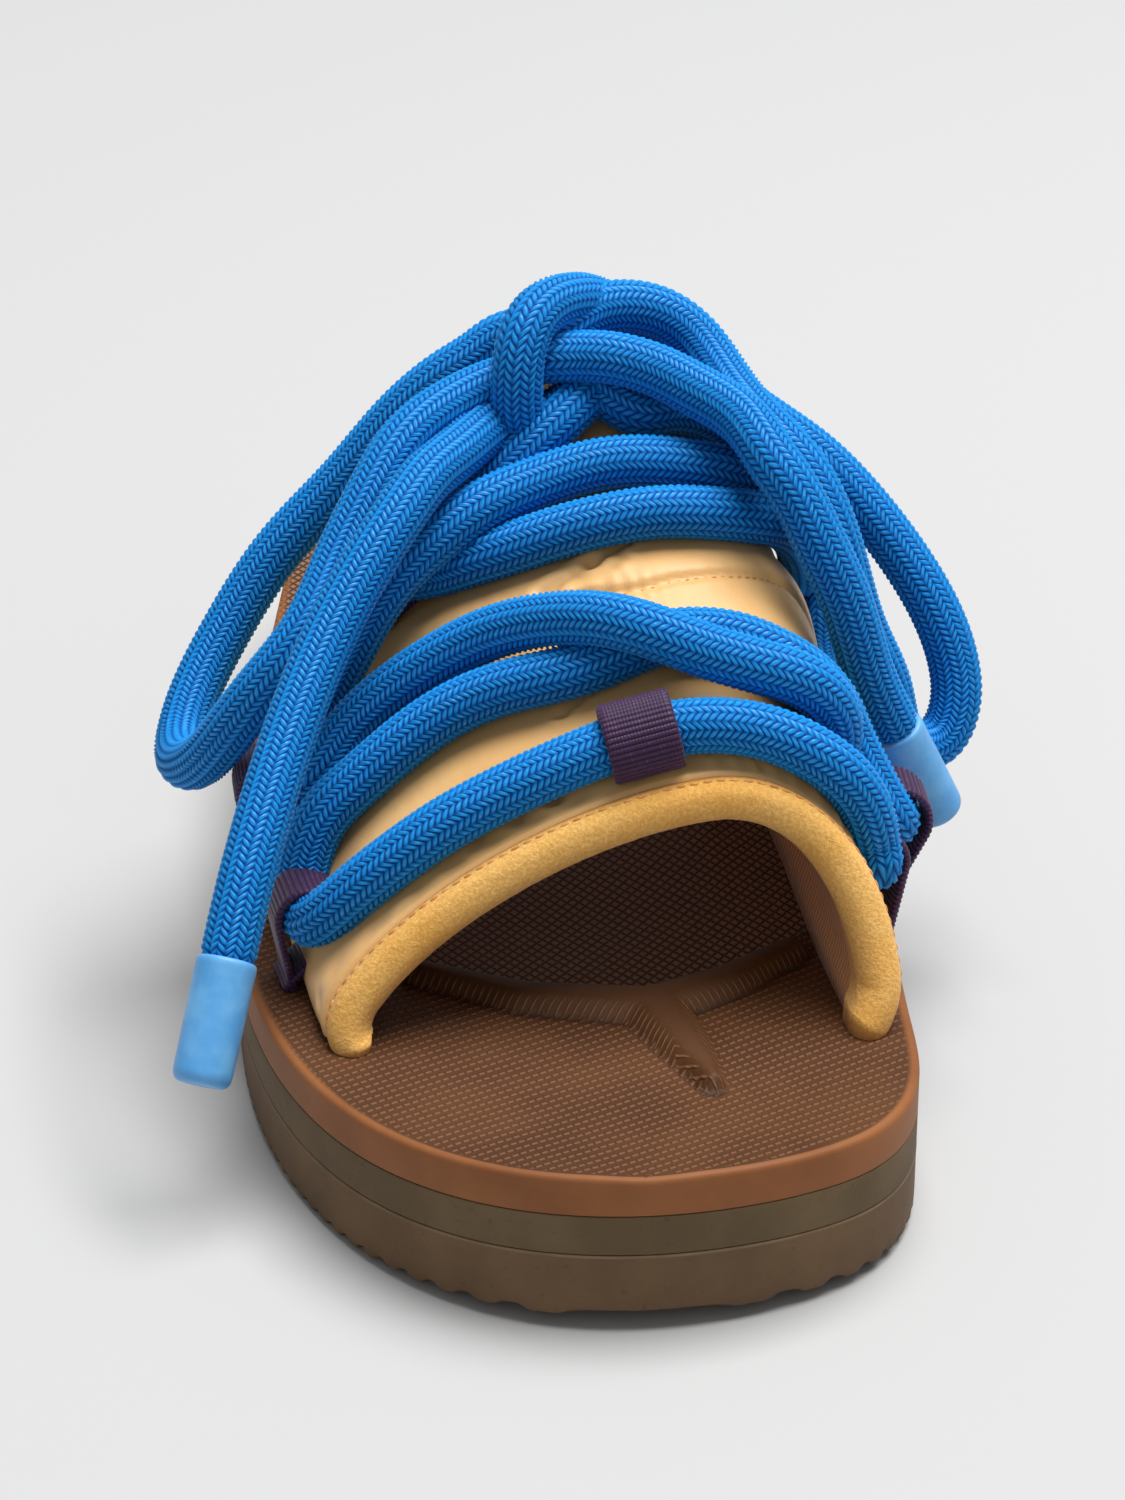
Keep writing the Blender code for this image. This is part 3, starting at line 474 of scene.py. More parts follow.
lowRun = np.array([(0.925, 0.36, 0.0), (0.935, 0.5, 0.0), (0.935, 0.64, 0.0), (0.925, 0.77, 0.0)])
hiddenTurn = np.array([(0.655, 0.685, 0.8), (0.69, 0.712, 0.4), (0.702, 0.745, 0.2), (0.69, 0.78, 0.2),
                       (0.655, 0.802, 0.0)])


def surfaceRow(rows):
    rows = np.asarray(rows, float)
    out, along = upperFrame(rows[:, 0], rows[:, 1])
    lift = ropeSetting["radius"] + ropeSetting["clear"] + rows[:, 2:3]
    return upperSkin(rows[:, 0], rows[:, 1]) + out * lift


firstRoute = np.vstack([
    [(11.9, 132.0, 100.2), (8.1, 127.0, 98.5), (2.2, 123.0, 94.5), (-3.3, 121.5, 89.5),
     (-9.0, 121.0, 84.4)],
    surfaceRow(barToKnot)[:1], turnThrough("loop_lateral_rear", -1.0),
    surfaceRow(barRearUnder)[::-1], turnThrough("loop_medial_rear", -1.0), surfaceRow(lowRun)[::-1],
    turnThrough("loop_medial_mid", -1.0), surfaceRow(barUnder)[-1:]])
secondRoute = np.vstack([
    surfaceRow(lowRun)[:1], turnThrough("loop_medial_mid", -1.0), surfaceRow(barUnder)[::-1],
    turnThrough("loop_lateral_front", -1.0), surfaceRow(barFront), turnThrough("loop_medial_front"),
    surfaceRow(barOver)[::-1], turnThrough("loop_lateral_mid"), surfaceRow(barRearOver),
    surfaceRow(hiddenTurn), surfaceRow(barFromKnot), [(12.0, 131.5, 101.0), (6.0, 133.5, 103.0)]])


# the two lengths of the one rope meet inside the medial middle loop
def cutNear(line, place, keepStart):
    k = int(np.argmin(np.linalg.norm(line - place, axis=1)))
    more = ropeSetting["overlap"]
    return line[:k + more] if keepStart else line[max(k - more, 0):]


meeting = loopCentre("loop_medial_mid")[0]
firstLine = cutNear(splineThrough(firstRoute, 3000), meeting, True)
laceFirst, firstPath = braidTube("laceFirst", firstLine, ropeCloth)
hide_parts("lace_rear_left", "lace_upper")
secondLine = cutNear(splineThrough(secondRoute, 3000), meeting, False)
laceSecond, secondPath = braidTube("laceSecond", secondLine, ropeCloth)
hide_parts("lace_front", "lace_middle", "lace_rear_right")
print("lace bars", [round(float(lengthAlong(line)[-1]), 1) for line in (firstPath, secondPath)], "mm")

# free lace: bow loops, ends and the wrap of the knot
bowLeft = [
    (4.0, 141.0, 107.0), (-2.8, 143.7, 104.9), (-6.7, 143.6, 102.2), (-11.0, 143.5, 99.5),
    (-20.1, 143.5, 91.9), (-30.2, 143.0, 80.3), (-40.5, 141.0, 69.9), (-50.5, 135.5, 56.8),
    (-56.8, 127.0, 47.4), (-58.9, 118.0, 43.1), (-57.8, 108.5, 44.0), (-54.3, 100.5, 48.8),
    (-45.5, 93.0, 63.1), (-36.7, 95.0, 73.9), (-31.7, 103.0, 81.3), (-26.0, 110.5, 89.9),
    (-20.0, 118.0, 96.8), (-11.9, 125.5, 100.2), (-6.9, 129.0, 101.3), (-2.3, 131.5, 102.0),
    (3.5, 133.0, 103.5)]
endLeft = [
    (1.4, 137.0, 94.5), (-2.5, 130.5, 95.7), (-6.8, 123.0, 96.3), (-11.8, 115.0, 95.4),
    (-16.7, 108.0, 94.2), (-20.7, 101.8, 91.6), (-29.2, 91.5, 82.3), (-36.2, 81.0, 72.4),
    (-43.0, 66.5, 60.0), (-48.0, 54.0, 48.2), (-51.2, 46.5, 38.0)]
bowRight = [
    (4.0, 141.0, 109.0), (8.6, 146.0, 108.2), (12.5, 147.5, 107.4), (17.2, 148.0, 105.7),
    (26.1, 148.0, 102.0), (34.5, 143.5, 96.0), (41.6, 139.0, 91.4), (50.0, 134.5, 86.2),
    (58.3, 129.5, 78.5), (65.5, 125.0, 69.4), (70.3, 121.5, 61.2), (73.1, 119.0, 52.7),
    (73.2, 117.0, 46.7), (70.0, 114.5, 41.1), (65.5, 112.0, 41.0), (59.6, 107.3, 54.3),
    (54.8, 105.8, 65.8), (51.7, 105.4, 75.6), (48.8, 106.0, 85.0), (44.5, 109.6, 93.2),
    (39.3, 116.4, 97.9), (35.4, 126.4, 100.6), (32.8, 133.5, 103.3), (29.7, 138.0, 106.5),
    (24.9, 140.0, 109.8), (19.5, 140.0, 111.5), (12.4, 138.0, 111.6), (7.2, 134.5, 110.3),
    (2.5, 132.5, 108.5)]
endRight = [
    (1.6, 132.0, 105.2), (5.1, 129.5, 106.5), (9.7, 128.5, 106.9), (14.2, 127.0, 107.1),
    (22.2, 124.0, 105.6), (28.6, 118.8, 103.6), (35.4, 109.6, 101.3), (38.6, 102.2, 97.9),
    (42.1, 98.6, 93.2), (44.8, 96.6, 88.0), (50.5, 95.4, 75.3), (54.4, 96.4, 63.0), (60.4, 98.5, 49.7)]
knotWrap = [
    (11.1, 134.0, 99.5), (4.3, 129.0, 96.1), (-0.1, 125.5, 97.5), (-1.2, 123.5, 102.6),
    (-0.9, 123.5, 108.2), (0.5, 125.5, 112.5), (3.4, 129.5, 114.9), (8.2, 135.0, 114.7),
    (13.1, 141.0, 112.1), (16.5, 145.5, 107.4), (15.7, 147.0, 101.1)]


def aglet(name, start, before, finish, node):
    way = unit(start - before)
    rows, columns = 80, 64
    # columns: distance from the rope's end, radius
    profile = np.array([(-1.6, 4.15), (-1.4, 4.55), (-1.0, 4.72), (0.0, 4.76), (6.0, 4.7), (12.0, 4.66),
                        (15.6, 4.62), (16.8, 4.5), (17.5, 4.15), (17.9, 3.6), (18.0, 2.8), (17.9, 1.2)])
    fine = splineThrough(profile, rows)
    side = unit(np.cross(way, (0.0, 0.0, 1.0)))
    up = np.cross(way, side)
    turn = np.linspace(0.0, 2.0 * np.pi, columns, endpoint=False)
    ring = side[None, :] * np.cos(turn)[:, None] + up[None, :] * np.sin(turn)[:, None]
    points = start + fine[:, None, :1] * way + ring[None, :, :] * fine[:, 1:2][:, None, :]
    piece = makeTube(name, points, finish)
    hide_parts(node)
    return piece


def agletFinish():
    finish, tree, shader = newFinish("agletPlastic", 0.42, Specular_IOR_Level=0.45)
    place = objectPlace(tree)
    cloud = noise(tree, place, 160.0, 3.0)
    tone = blendColour(tree, spread(tree, cloud, 0.35, 0.7), (84, 158, 218), (108, 176, 228))
    dress(tree, shader, tone, bump(tree, noise(tree, place, 700.0, 2.0), 0.15, 0.0003))
    return finish


agletPlastic = agletFinish()
freeLace = (("laceLoopLeft", bowLeft, "lace_loop_left"), ("laceLoopRight", bowRight, "lace_loop_right"),
            ("laceEndLeft", endLeft, "lace_end_left"), ("laceEndRight", endRight, "lace_end_right"),
            ("laceKnotWrap", knotWrap, "lace_knot"))
for cordName, route, node in freeLace:
    piece, path = braidTube(cordName, splineThrough(route, 1500), ropeCloth)
    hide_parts(node)
    tips = []
    if cordName.startswith("laceEnd"):
        side = "Left" if "Left" in cordName else "Right"
        tips = [aglet("aglet" + side, path[-1], path[-12], agletPlastic, "aglet_" + side.lower())]
    print(cordName, round(float(lengthAlong(path)[-1]), 1), "mm")


# sole layers: each row across the sole is a closed loop of top, wall, underside and wall
rowRun = lengthAlong(lateralEdge)
rowAt = np.linspace(soleSetting["rowEnd"], rowRun[-1] - soleSetting["rowEnd"],
                    int(rowRun[-1] / soleSetting["rowStep"]))
rowY = np.interp(rowAt, rowRun, lateralEdge[:, 1])


# x of one side at each row and the way inwards, from the outline's own direction there
def edgeRows(line, sign):
    way = sign * unit(np.gradient(line, axis=0))
    return [np.interp(rowY, line[:, 1], column) for column in (line[:, 0], way[:, 1], -way[:, 0])]


def soleLayer(name, topFunction, bottomFunction, wallRows, topShares, bottomShares, finishes,
              node, moreMarks=None):
    edges = [edgeRows(lateralEdge, 1.0), edgeRows(medialEdge, -1.0)]
    walls = []
    for x, nx, ny in edges:
        px = x[:, None] + nx[:, None] * wallRows[None, :, 0]
        py = rowY[:, None] + ny[:, None] * wallRows[None, :, 0]
        top = topFunction(px[:, :1], py[:, :1])
        low = bottomFunction(px[:, -1:], py[:, -1:])
        pz = np.where(wallRows[None, :, 2] > 0.5, low + wallRows[None, :, 1], top - wallRows[None, :, 1])
        walls.append(np.stack([px, py, pz], -1))
    leftTop, rightTop = walls[0][:, 0, :2], walls[1][:, 0, :2]
    flat = leftTop[:, None, :] + (rightTop - leftTop)[:, None, :] * topShares[None, 1:-1, None]
    topGrid = np.concatenate([flat, topFunction(flat[..., 0], flat[..., 1])[..., None]], -1)
    leftLow, rightLow = walls[0][:, -1, :2], walls[1][:, -1, :2]
    flat = rightLow[:, None, :] + (leftLow - rightLow)[:, None, :] * bottomShares[None, 1:-1, None]
    lowGrid = np.concatenate([flat, bottomFunction(flat[..., 0], flat[..., 1])[..., None]], -1)
    loop = np.concatenate([topGrid, walls[1], lowGrid, walls[0][:, ::-1]], 1)
    rows, columns = loop.shape[:2]
    # toe and heel are closed by strips from wall to wall
    tall, tops = len(wallRows), len(topShares) - 2
    near, far = tops + np.arange(tall), columns - 1 - np.arange(tall)
    strips = [np.concatenate([np.arange(tops), near[:2], far[1::-1]])]
    strips += [np.array([near[k], near[k + 1], far[k + 1], far[k]]) for k in range(1, tall - 2)]
    strips += [np.concatenate([near[-2:], np.arange(tops + tall, columns - tall), far[:-3:-1]])]
    caps = [strip[::-1] for strip in strips] + [strip + (rows - 1) * columns for strip in strips]
    wallMark = np.zeros((rows, columns))
    wallMark[:, len(topShares) - 2:len(topShares) - 2 + len(wallRows)] = 1.0
    wallMark[:, -len(wallRows):] = 1.0
    marks = {"wall": wallMark}
    if moreMarks is not None:
        marks.update(moreMarks(loop[..., 0], loop[..., 1], loop[..., 2]))
    piece = makePiece(name, loop.reshape(-1, 3), gridQuads(rows, columns), finishes, caps,
                      marks=marks)
    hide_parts(node)
    return piece


def ripple(x, y):
    wave = 0.5 - 0.5 * np.cos(2.0 * np.pi * (y - toeY) / soleSetting["ripplePitch"])
    return floorLine(y) + soleSetting["rippleDepth"] * ease(wave * 1.5 - 0.35)


# buffed foam: cloudy tone with fine pores, and a pale hairline where the layer is glued to the one above
def foamFinish(name, dark, light, rough):
    finish, tree, shader = newFinish(name, rough, Specular_IOR_Level=0.3)
    place = objectPlace(tree)
    cloud = noise(tree, place, 60.0, 4.0)
    pore = noise(tree, place, 1400.0, 3.0)
    tone = blendColour(tree, spread(tree, cloud, 0.3, 0.7), dark, light)
    fleck = spread(tree, noise(tree, place, 700.0, 3.0), 0.62, 0.75)
    tone = blendColour(tree, times(tree, fleck, 0.3), tone, (52, 40, 28))
    hair = times(tree, markValue(tree, "glue"),
                 spread(tree, noise(tree, place, 130.0, 2.0), 0.3, 0.6, 0.3, 0.9))
    tone = blendColour(tree, hair, tone, (124, 104, 80))
    dress(tree, shader, tone, bump(tree, pore, 0.3, 0.0004))
    return finish


# wall rows, columns: inset, distance, 0 from the top or 1 up from the underside
outsoleWall = np.array([
    (0.3, 0.0, 0), (0.04, 0.04, 0), (-0.03, 0.2, 0), (-0.03, 0.4, 0), (0.0, 0.55, 0), (0.0, 3.0, 0),
    (0.0, 6.0, 0), (0.0, 2.4, 1), (0.05, 1.2, 1), (0.3, 0.5, 1), (0.7, 0.15, 1), (1.3, 0.0, 1)], float)
midsoleWall = np.array([
    (0.3, 0.0, 0), (0.05, 0.05, 0), (0.0, 0.2, 0), (0.0, 2.0, 0), (0.0, 2.0, 1), (0.0, 0.2, 1),
    (0.05, 0.05, 1), (0.3, 0.0, 1)], float)
footbedWall = np.array([
    (1.1, 0.0, 0), (0.65, 0.07, 0), (0.35, 0.22, 0), (0.12, 0.48, 0), (0.0, 0.9, 0), (0.0, 2.6, 0),
    (0.0, 1.6, 1), (0.0, 0.3, 1), (0.05, 0.05, 1), (0.3, 0.0, 1)], float)
outsoleFoam = foamFinish("outsoleFoam", (98, 75, 51), (114, 88, 61), 0.7)
midsoleFoam = foamFinish("midsoleFoam", (92, 74, 49), (108, 88, 61), 0.7)
evenTop = np.linspace(0.0, 1.0, 12)


def glueMark(x, y, z):
    return {"glue": ((z > outsoleLine(y) - 0.45) & (z < outsoleLine(y) - 0.02)).astype(float)}


soleLayer("outsolePiece", lambda x, y: outsoleLine(y), ripple, outsoleWall, evenTop,
          np.linspace(0.0, 1.0, 40), [outsoleFoam], "outsole", glueMark)
soleLayer("midsolePiece", lambda x, y: midsoleLine(y), lambda x, y: outsoleLine(y) + 0.12, midsoleWall,
          evenTop, evenTop, [midsoleFoam], "midsole")
print("sole layers")

# footbed: dished top with an arch and a raised toe bar of three arms
footbedSetting = {"dishShare": 0.64, "dishHeel": 0.86, "archRise": 4.0, "archAt": (27.0, 158.0),
                  "archReach": (13.0, 42.0), "barHeight": 2.6}
dishDepth = np.array([(0.0, 0.3), (60.0, 0.6), (85.0, 1.6), (150.0, 1.2), (225.0, 4.2), (284.0, 2.5)])
barArms = (np.array([(22.3, 29.5, 2.0), (19.5, 42.0, 4.4), (15.5, 56.0, 6.0)]),
           np.array([(15.5, 56.0, 6.0), (-4.5, 60.0, 4.6), (-21.0, 68.5, 3.2)]),
           np.array([(15.5, 56.0, 6.0), (28.5, 62.5, 4.6), (39.5, 71.0, 3.2)]))


def armRise(x, y, rows):
    best = np.zeros_like(x)
    for (x0, y0, w0), (x1, y1, w1) in zip(rows[:-1], rows[1:]):
        t, far = toLine(x - x0, y - y0, x1 - x0, y1 - y0)
        # round on top, a sharp crease at the foot
        share = np.clip(1.3 - far / (w0 + t * (w1 - w0)) * 1.3, 0.0, 1.0)
        best = np.maximum(best, np.sin(0.5 * np.pi * share))
    return best


def toeBar(x, y):
    return np.maximum.reduce([armRise(x, y, rows) for rows in barArms])


def footbedTop(x, y):
    lateral, medial = sideX(y)
    across = (x - 0.5 * (lateral + medial)) / np.maximum(0.5 * (medial - lateral), 1.0)
    narrow, wide = footbedSetting["dishShare"], footbedSetting["dishHeel"]
    limit = narrow + (wide - narrow) * ease((y - 170.0) / 40.0)
    # closed at the heel
    depth = np.interp(y, *dishDepth.T) * ease((heelY - 3.0 - y) / 24.0)
    dish = depth * np.clip(1.0 - (across / limit) ** 2, 0.0, 1.0) ** 1.5
    (archX, archY), (reachX, reachY) = footbedSetting["archAt"], footbedSetting["archReach"]
    arch = footbedSetting["archRise"] * np.exp(-((x - archX) / reachX) ** 2 - ((y - archY) / reachY) ** 2)
    arch = arch * np.clip((limit - np.abs(across)) / 0.12, 0.0, 1.0)
    return rimLine(y) - dish + arch + footbedSetting["barHeight"] * toeBar(x, y)


# marks of the footbed's top: grain before the bar, whose dashes also get a painted highlight, diamonds
# behind it, the bar's front slope and its foot, where shade is painted
barLine = np.array([
    (-60.0, 92.0), (-36.0, 77.0), (-21.0, 68.5), (-4.5, 60.0), (15.5, 56.0), (28.5, 62.5), (39.5, 71.0),
    (60.0, 92.0)])


def topMarks(x, y, z):
    flat = np.stack([x.ravel(), y.ravel()], -1)
    inside = ease((nearest(flat, edge[::12]).reshape(x.shape) - 1.4) / 1.0)
    rise = toeBar(x, y)
    behind = ease((y - np.interp(x, *barLine.T) - 3.2) / 1.6)
    slope = np.clip(1.6 * (1.0 - np.abs(rise - 0.45) / 0.42), 0.0, 1.0) * (1.0 - behind)
    # foot: a band just in front of the bar's foot, later darkened as painted shade
    foot = np.exp(-(rise / 0.16) ** 2) * ease(toeBar(x, y + 1.6) * 3.0) * (1.0 - behind)
    return {"grain": inside * (1.0 - behind) * (1.0 - ease(rise * 8.0)), "lattice": behind, "slope": slope,
            "foot": foot}


# sloping lines over the plane: value 0 on a line, 0.5 between two lines
def planeLines(tree, x, y, perX, perY):
    total = calc(tree, "ADD", times(tree, x, perX), times(tree, y, perY))
    return calc(tree, "PINGPONG", total, 0.5)


# slanted dashes before the bar with a painted highlight colour, raised diamonds behind it, strokes on its
# front slope, painted shade along the bar's foot
def footbedFinish():
    finish, tree, shader = newFinish("footbedFoam", 0.55, Specular_IOR_Level=0.22)
    place = objectPlace(tree)
    x, y, z = parts(tree, place)
    # dashes: raised grain that also carries a pale painted highlight colour
    dashAndHighlight = times(tree, spread(tree, planeLines(tree, x, y, -318.0, 513.0), 0.26, 0.06),
                 spread(tree, planeLines(tree, x, y, 640.0, 266.0), 0.06, 0.2))
    dashAndHighlight = times(tree, dashAndHighlight, markValue(tree, "grain"))
    latticeA = planeLines(tree, x, y, 500.0, 370.0)
    latticeB = planeLines(tree, x, y, 500.0, -370.0)
    stud = spread(tree, calc(tree, "MINIMUM", latticeA, latticeB), 0.04, 0.28)
    mirrored = calc(tree, "ABSOLUTE", calc(tree, "SUBTRACT", x, 0.0105))
    stroke = spread(tree, planeLines(tree, mirrored, y, 620.0, 510.0), 0.2, 0.05)
    stroke = times(tree, stroke, markValue(tree, "slope"))
    cloud = noise(tree, place, 45.0, 4.0)
    tone = blendColour(tree, spread(tree, cloud, 0.3, 0.7), (74, 45, 24), (90, 57, 31))
    # painted highlight: the dashes lightened
    tone = blendColour(tree, times(tree, dashAndHighlight, 0.52), tone, (150, 100, 70))
    # painted shade: darker along the crease at the foot of the toe bar
    tone = blendColour(tree, times(tree, markValue(tree, "foot"), 0.7), tone, (44, 24, 14))
    tone = blendColour(tree, times(tree, stroke, 0.42), tone, (168, 118, 84))
    weave = blendColour(tree, stud, (62, 38, 24), (140, 102, 74))
    tone = blendColour(tree, markValue(tree, "lattice"), tone, weave)
    side = blendColour(tree, spread(tree, cloud, 0.3, 0.7), (128, 78, 42), (146, 92, 52))
    tone = blendColour(tree, markValue(tree, "wall"), tone, side)
    raised = times(tree, stud, markValue(tree, "lattice"))
    height = calc(tree, "ADD", calc(tree, "ADD", dashAndHighlight, stroke), raised)
    first = bump(tree, height, 0.6, 0.0005)
    dress(tree, shader, tone, bump(tree, noise(tree, place, 900.0, 3.0), 0.12, 0.0004, first))
    return finish


footbedFoam = footbedFinish()
soleLayer("footbedPiece", footbedTop, lambda x, y: midsoleLine(y) + 0.12, footbedWall,
          np.linspace(0.0, 1.0, 110), evenTop, [footbedFoam], "footbed", topMarks)
print("footbed")

# upper: padded skin outside, knit lining inside
seamRow = splineThrough([
    (0.0, 0.52), (0.22, 0.49), (0.33, 0.455), (0.39, 0.435), (0.455, 0.415), (0.51, 0.43), (0.58, 0.45),
    (0.675, 0.49), (0.8, 0.53), (1.0, 0.55)], 400)


# creases, columns: share around and along at each end, depth, width, both in mm
creaseRows = np.array([
    (0.458, 0.53, 0.424, 0.497, 1.1, 1.0), (0.424, 0.497, 0.38, 0.462, 1.0, 1.1),
    (0.45, 0.49, 0.412, 0.47, 0.5, 1.0), (0.44, 0.47, 0.405, 0.455, 0.4, 0.9),
    (0.385, 0.252, 0.365, 0.205, 0.8, 0.8), (0.395, 0.24, 0.378, 0.215, 0.4, 0.7),
    (0.342, 0.058, 0.338, 0.02, 0.9, 0.8), (0.31, 0.045, 0.305, 0.018, 0.5, 0.8),
    (0.275, 0.05, 0.268, 0.016, 0.4, 0.8), (0.56, 0.02, 0.566, 0.002, 0.2, 0.9),
    (0.24, 0.33, 0.225, 0.3, 0.5, 1.0), (0.7, 0.33, 0.716, 0.29, 0.5, 1.1),
    (0.3, 0.46, 0.27, 0.44, 0.5, 1.0), (0.76, 0.42, 0.79, 0.4, 0.5, 1.0),
    (0.43, 0.9, 0.4, 0.87, 0.6, 1.2), (0.64, 0.9, 0.67, 0.88, 0.6, 1.2)])


def creaseDepth(u, v):
    total = np.zeros_like(u)
    around, along = upperSetting["aroundLength"], upperSetting["alongLength"]
    for u0, v0, u1, v1, deep, wide in creaseRows:
        t, far = toLine((u - u0) * around, (v - v0) * along, (u1 - u0) * around, (v1 - v0) * along)
        fold = np.exp(-(far / wide) ** 2) - 0.35 * np.exp(-((far - 2.2 * wide) / wide) ** 2)
        total = total + deep * fold
    return total


# padding: depths, widths and places in mm, fades as shares of the upper
padSetting = {"lift": 0.3, "seamScale": 90.0, "groove": 1.0, "grooveWidth": 0.8, "fold": 0.9,
              "foldAt": 5.0, "foldWidth": 5.0, "puckerReach": 2.5, "pucker": 0.04, "lateralPucker": 0.12,
              "puff": 1.2, "puffFrom": 4.9, "puffReach": 4.5, "roll": 0.18, "frontFade": 0.012,
              "rearFade": 0.03, "sideFade": 0.02}


# seam groove with a fold behind it, puckers along it, puffs between ropes, a wavy front roll and creases
def skinRelief(u, v, points):
    pad = padSetting
    seamV = np.interp(u, *seamRow.T)
    fromSeam = (v - seamV) * pad["seamScale"]
    relief = pad["lift"] - pad["groove"] * np.exp(-(fromSeam / pad["grooveWidth"]) ** 2)
    relief = relief + pad["fold"] * np.exp(-((fromSeam - pad["foldAt"]) / pad["foldWidth"]) ** 2)
    pucker = np.sin(u * 310.0 + 3.0 * np.sin(u * 41.0)) * np.exp(-np.abs(fromSeam) / pad["puckerReach"])
    pucker = pucker * (pad["pucker"] + pad["lateralPucker"] * ease((0.5 - u) / 0.06))
    ropes = np.vstack([firstPath[::6], secondPath[::6]])
    free = np.clip(nearest(points, ropes) - pad["puffFrom"], 0.0, None)
    puff = pad["puff"] * (1.0 - np.exp(-(free / pad["puffReach"]) ** 2))
    roll = np.sin(u * 150.0 + 2.0 * np.sin(u * 23.0)) * np.exp(-((v - 0.012) / 0.02) ** 2) * pad["roll"]
    edgeFade = ease((v - upperSetting["front"]) / pad["frontFade"]) * ease((1.0 - v) / pad["rearFade"])
    edgeFade = edgeFade * ease(np.minimum(u, 1.0 - u) / pad["sideFade"])
    return (relief + pucker + puff + roll - creaseDepth(u, v)) * edgeFade


# the nylon laps over the binding's rear half, a half-round hem joins it to the lining
def buildUpper(nylon, lining):
    nu, nv, nw, hemSteps = [upperSetting[key] for key in ("around", "along", "inside", "hem")]
    u = np.linspace(0.0, 1.0, nu)[:, None]
    v = np.linspace(upperSetting["front"], 1.0, nv)[None, :]
    skin = upperSkin(u, v)
    out, along = upperFrame(u, v)
    uu, vv = np.broadcast_arrays(u, v)
    relief = skinRelief(uu.ravel(), vv.ravel(), skin.reshape(-1, 3)).reshape(nu, nv)
    outer = skin + out * relief[..., None]
    innerShare = np.linspace(0.0, 1.0, nw)[None, :]
    inner = upperSkin(u, innerShare) - upperFrame(u, innerShare)[0] * upperSetting["wall"]
    turn = np.linspace(0.5 * np.pi, -0.5 * np.pi, hemSteps + 2)[None, 1:-1, None]
    middle = 0.5 * (outer[:, -1:] + inner[:, -1:])
    reach = 0.5 * np.linalg.norm(outer[:, -1:] - inner[:, -1:], axis=-1, keepdims=True)
    hem = middle + out[:, -1:] * reach * np.sin(turn) + along[:, -1:] * reach * np.cos(turn)
    loop = np.concatenate([outer, hem, inner[:, ::-1]], 1)
    loop[[0, -1], :, 2] = np.maximum(rimLine(loop[[0, -1], :, 1]) + 0.1, 0.0)
    rows, columns = loop.shape[:2]
    pick = np.repeat((np.arange(columns) >= nv + 6).astype(int)[None, :], rows - 1, 0)
    pick[:, -1] = 0
    caps = [cap[::-1] for cap in endCaps(rows, columns)]
    run = np.concatenate([np.linspace(0.0, 1.0, nv), np.linspace(1.0, 1.05, hemSteps),
                          np.linspace(1.05, 2.05, nw)])
    uv = np.stack([np.repeat(u * 1.5, columns, 1), np.repeat(run[None, :], rows, 0)], -1).reshape(-1, 2)
    piece = makePiece("upperShell", loop.reshape(-1, 3), gridQuads(rows, columns)[:, ::-1], [nylon, lining],
                      caps, uv, facePick=pick.ravel())
    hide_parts("upper")
    return piece


# satin nylon: even peach with a fine weave and shallow wrinkles
def nylonFinish():
    finish, tree, shader = newFinish("nylonCloth", 0.42, Sheen_Weight=0.08, Specular_IOR_Level=0.4)
    place = objectPlace(tree)
    cloud = noise(tree, place, 40.0, 3.0)
    weave = noise(tree, place, 1500.0, 2.0)
    wrinkle = noise(tree, place, 110.0, 3.0)
    tone = blendColour(tree, spread(tree, cloud, 0.3, 0.7), (230, 178, 112), (238, 190, 124))
    first = bump(tree, wrinkle, 0.2, 0.0015)
    dress(tree, shader, tone, bump(tree, weave, 0.15, 0.0003, first))
    return finish


# ribbed knit: ribs across the foot, with painted shade in the grooves between them
def liningFinish():
    finish, tree, shader = newFinish("knitLining", 0.85, Sheen_Weight=0.2)
    u, v, w = parts(tree, clothPlace(tree))
    rib = calc(tree, "PINGPONG", times(tree, v, 75.0), 0.5)
    place = objectPlace(tree)
    # painted shade: darker along the grooves between the ribs
    tone = blendColour(tree, spread(tree, rib, 0.1, 0.4), (206, 138, 84), (244, 180, 122))
    first = bump(tree, rib, 0.5, 0.0006)
    dress(tree, shader, tone, bump(tree, noise(tree, place, 1600.0, 2.0), 0.3, 0.0003, first))
    return finish


upperShell = buildUpper(nylonFinish(), liningFinish())
print("upper", len(upperShell.data.polygons))


# binding: a closed roll carried round the front edge of the upper
bindingSetting = {"steps": 320, "profileSteps": 72, "nap": 0.05, "seamAt": 3.1, "seamWidth": 0.6,
                  "footGap": 0.1}


def buildBinding(finish):
    u = np.linspace(0.0, 1.0, bindingSetting["steps"])
    skin = upperSkin(u, 0.0 * u)
    out, along = upperFrame(u, 0.0 * u)
    # columns: forward of the upper's edge, lift over the skin
    profile = splineThrough([(2.6, 0.35), (3.3, 0.95), (4.6, 1.2), (6.2, 0.75), (7.5, -0.7), (8.1, -2.5),
                             (7.2, -4.7), (5.0, -5.9), (2.5, -6.0), (0.2, -5.9), (-0.6, -5.2),
                             (-0.6, -2.8), (0.3, -1.0),
                             (1.6, -0.5)], bindingSetting["profileSteps"], closed=True)[:-1]
    points = skin[:, None, :] - along[:, None, :] * profile[None, :, :1]
    points = points + out[:, None, :] * profile[None, :, 1:]
    nap = rng.normal(0.0, 1.0, points.shape[:2])
    nap = 0.25 * (nap + np.roll(nap, 1, 0) + np.roll(nap, 1, 1) + np.roll(nap, -1, 0))
    points = points + out[:, None, :] * (bindingSetting["nap"] * nap)[..., None]
    points[[0, -1], :, 2] = rimLine(points[[0, -1], :, 1]) + bindingSetting["footGap"]
    fromSeam = (profile[:, 0] - bindingSetting["seamAt"]) / bindingSetting["seamWidth"]
    seam = np.exp(-(fromSeam ** 2)) * (profile[:, 1] > 0.0)
    piece = makeTube("bindingRoll", points, finish,
                     marks={"seam": np.repeat(seam[None, :], len(points), 0)})
    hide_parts("toe_binding")
    return piece


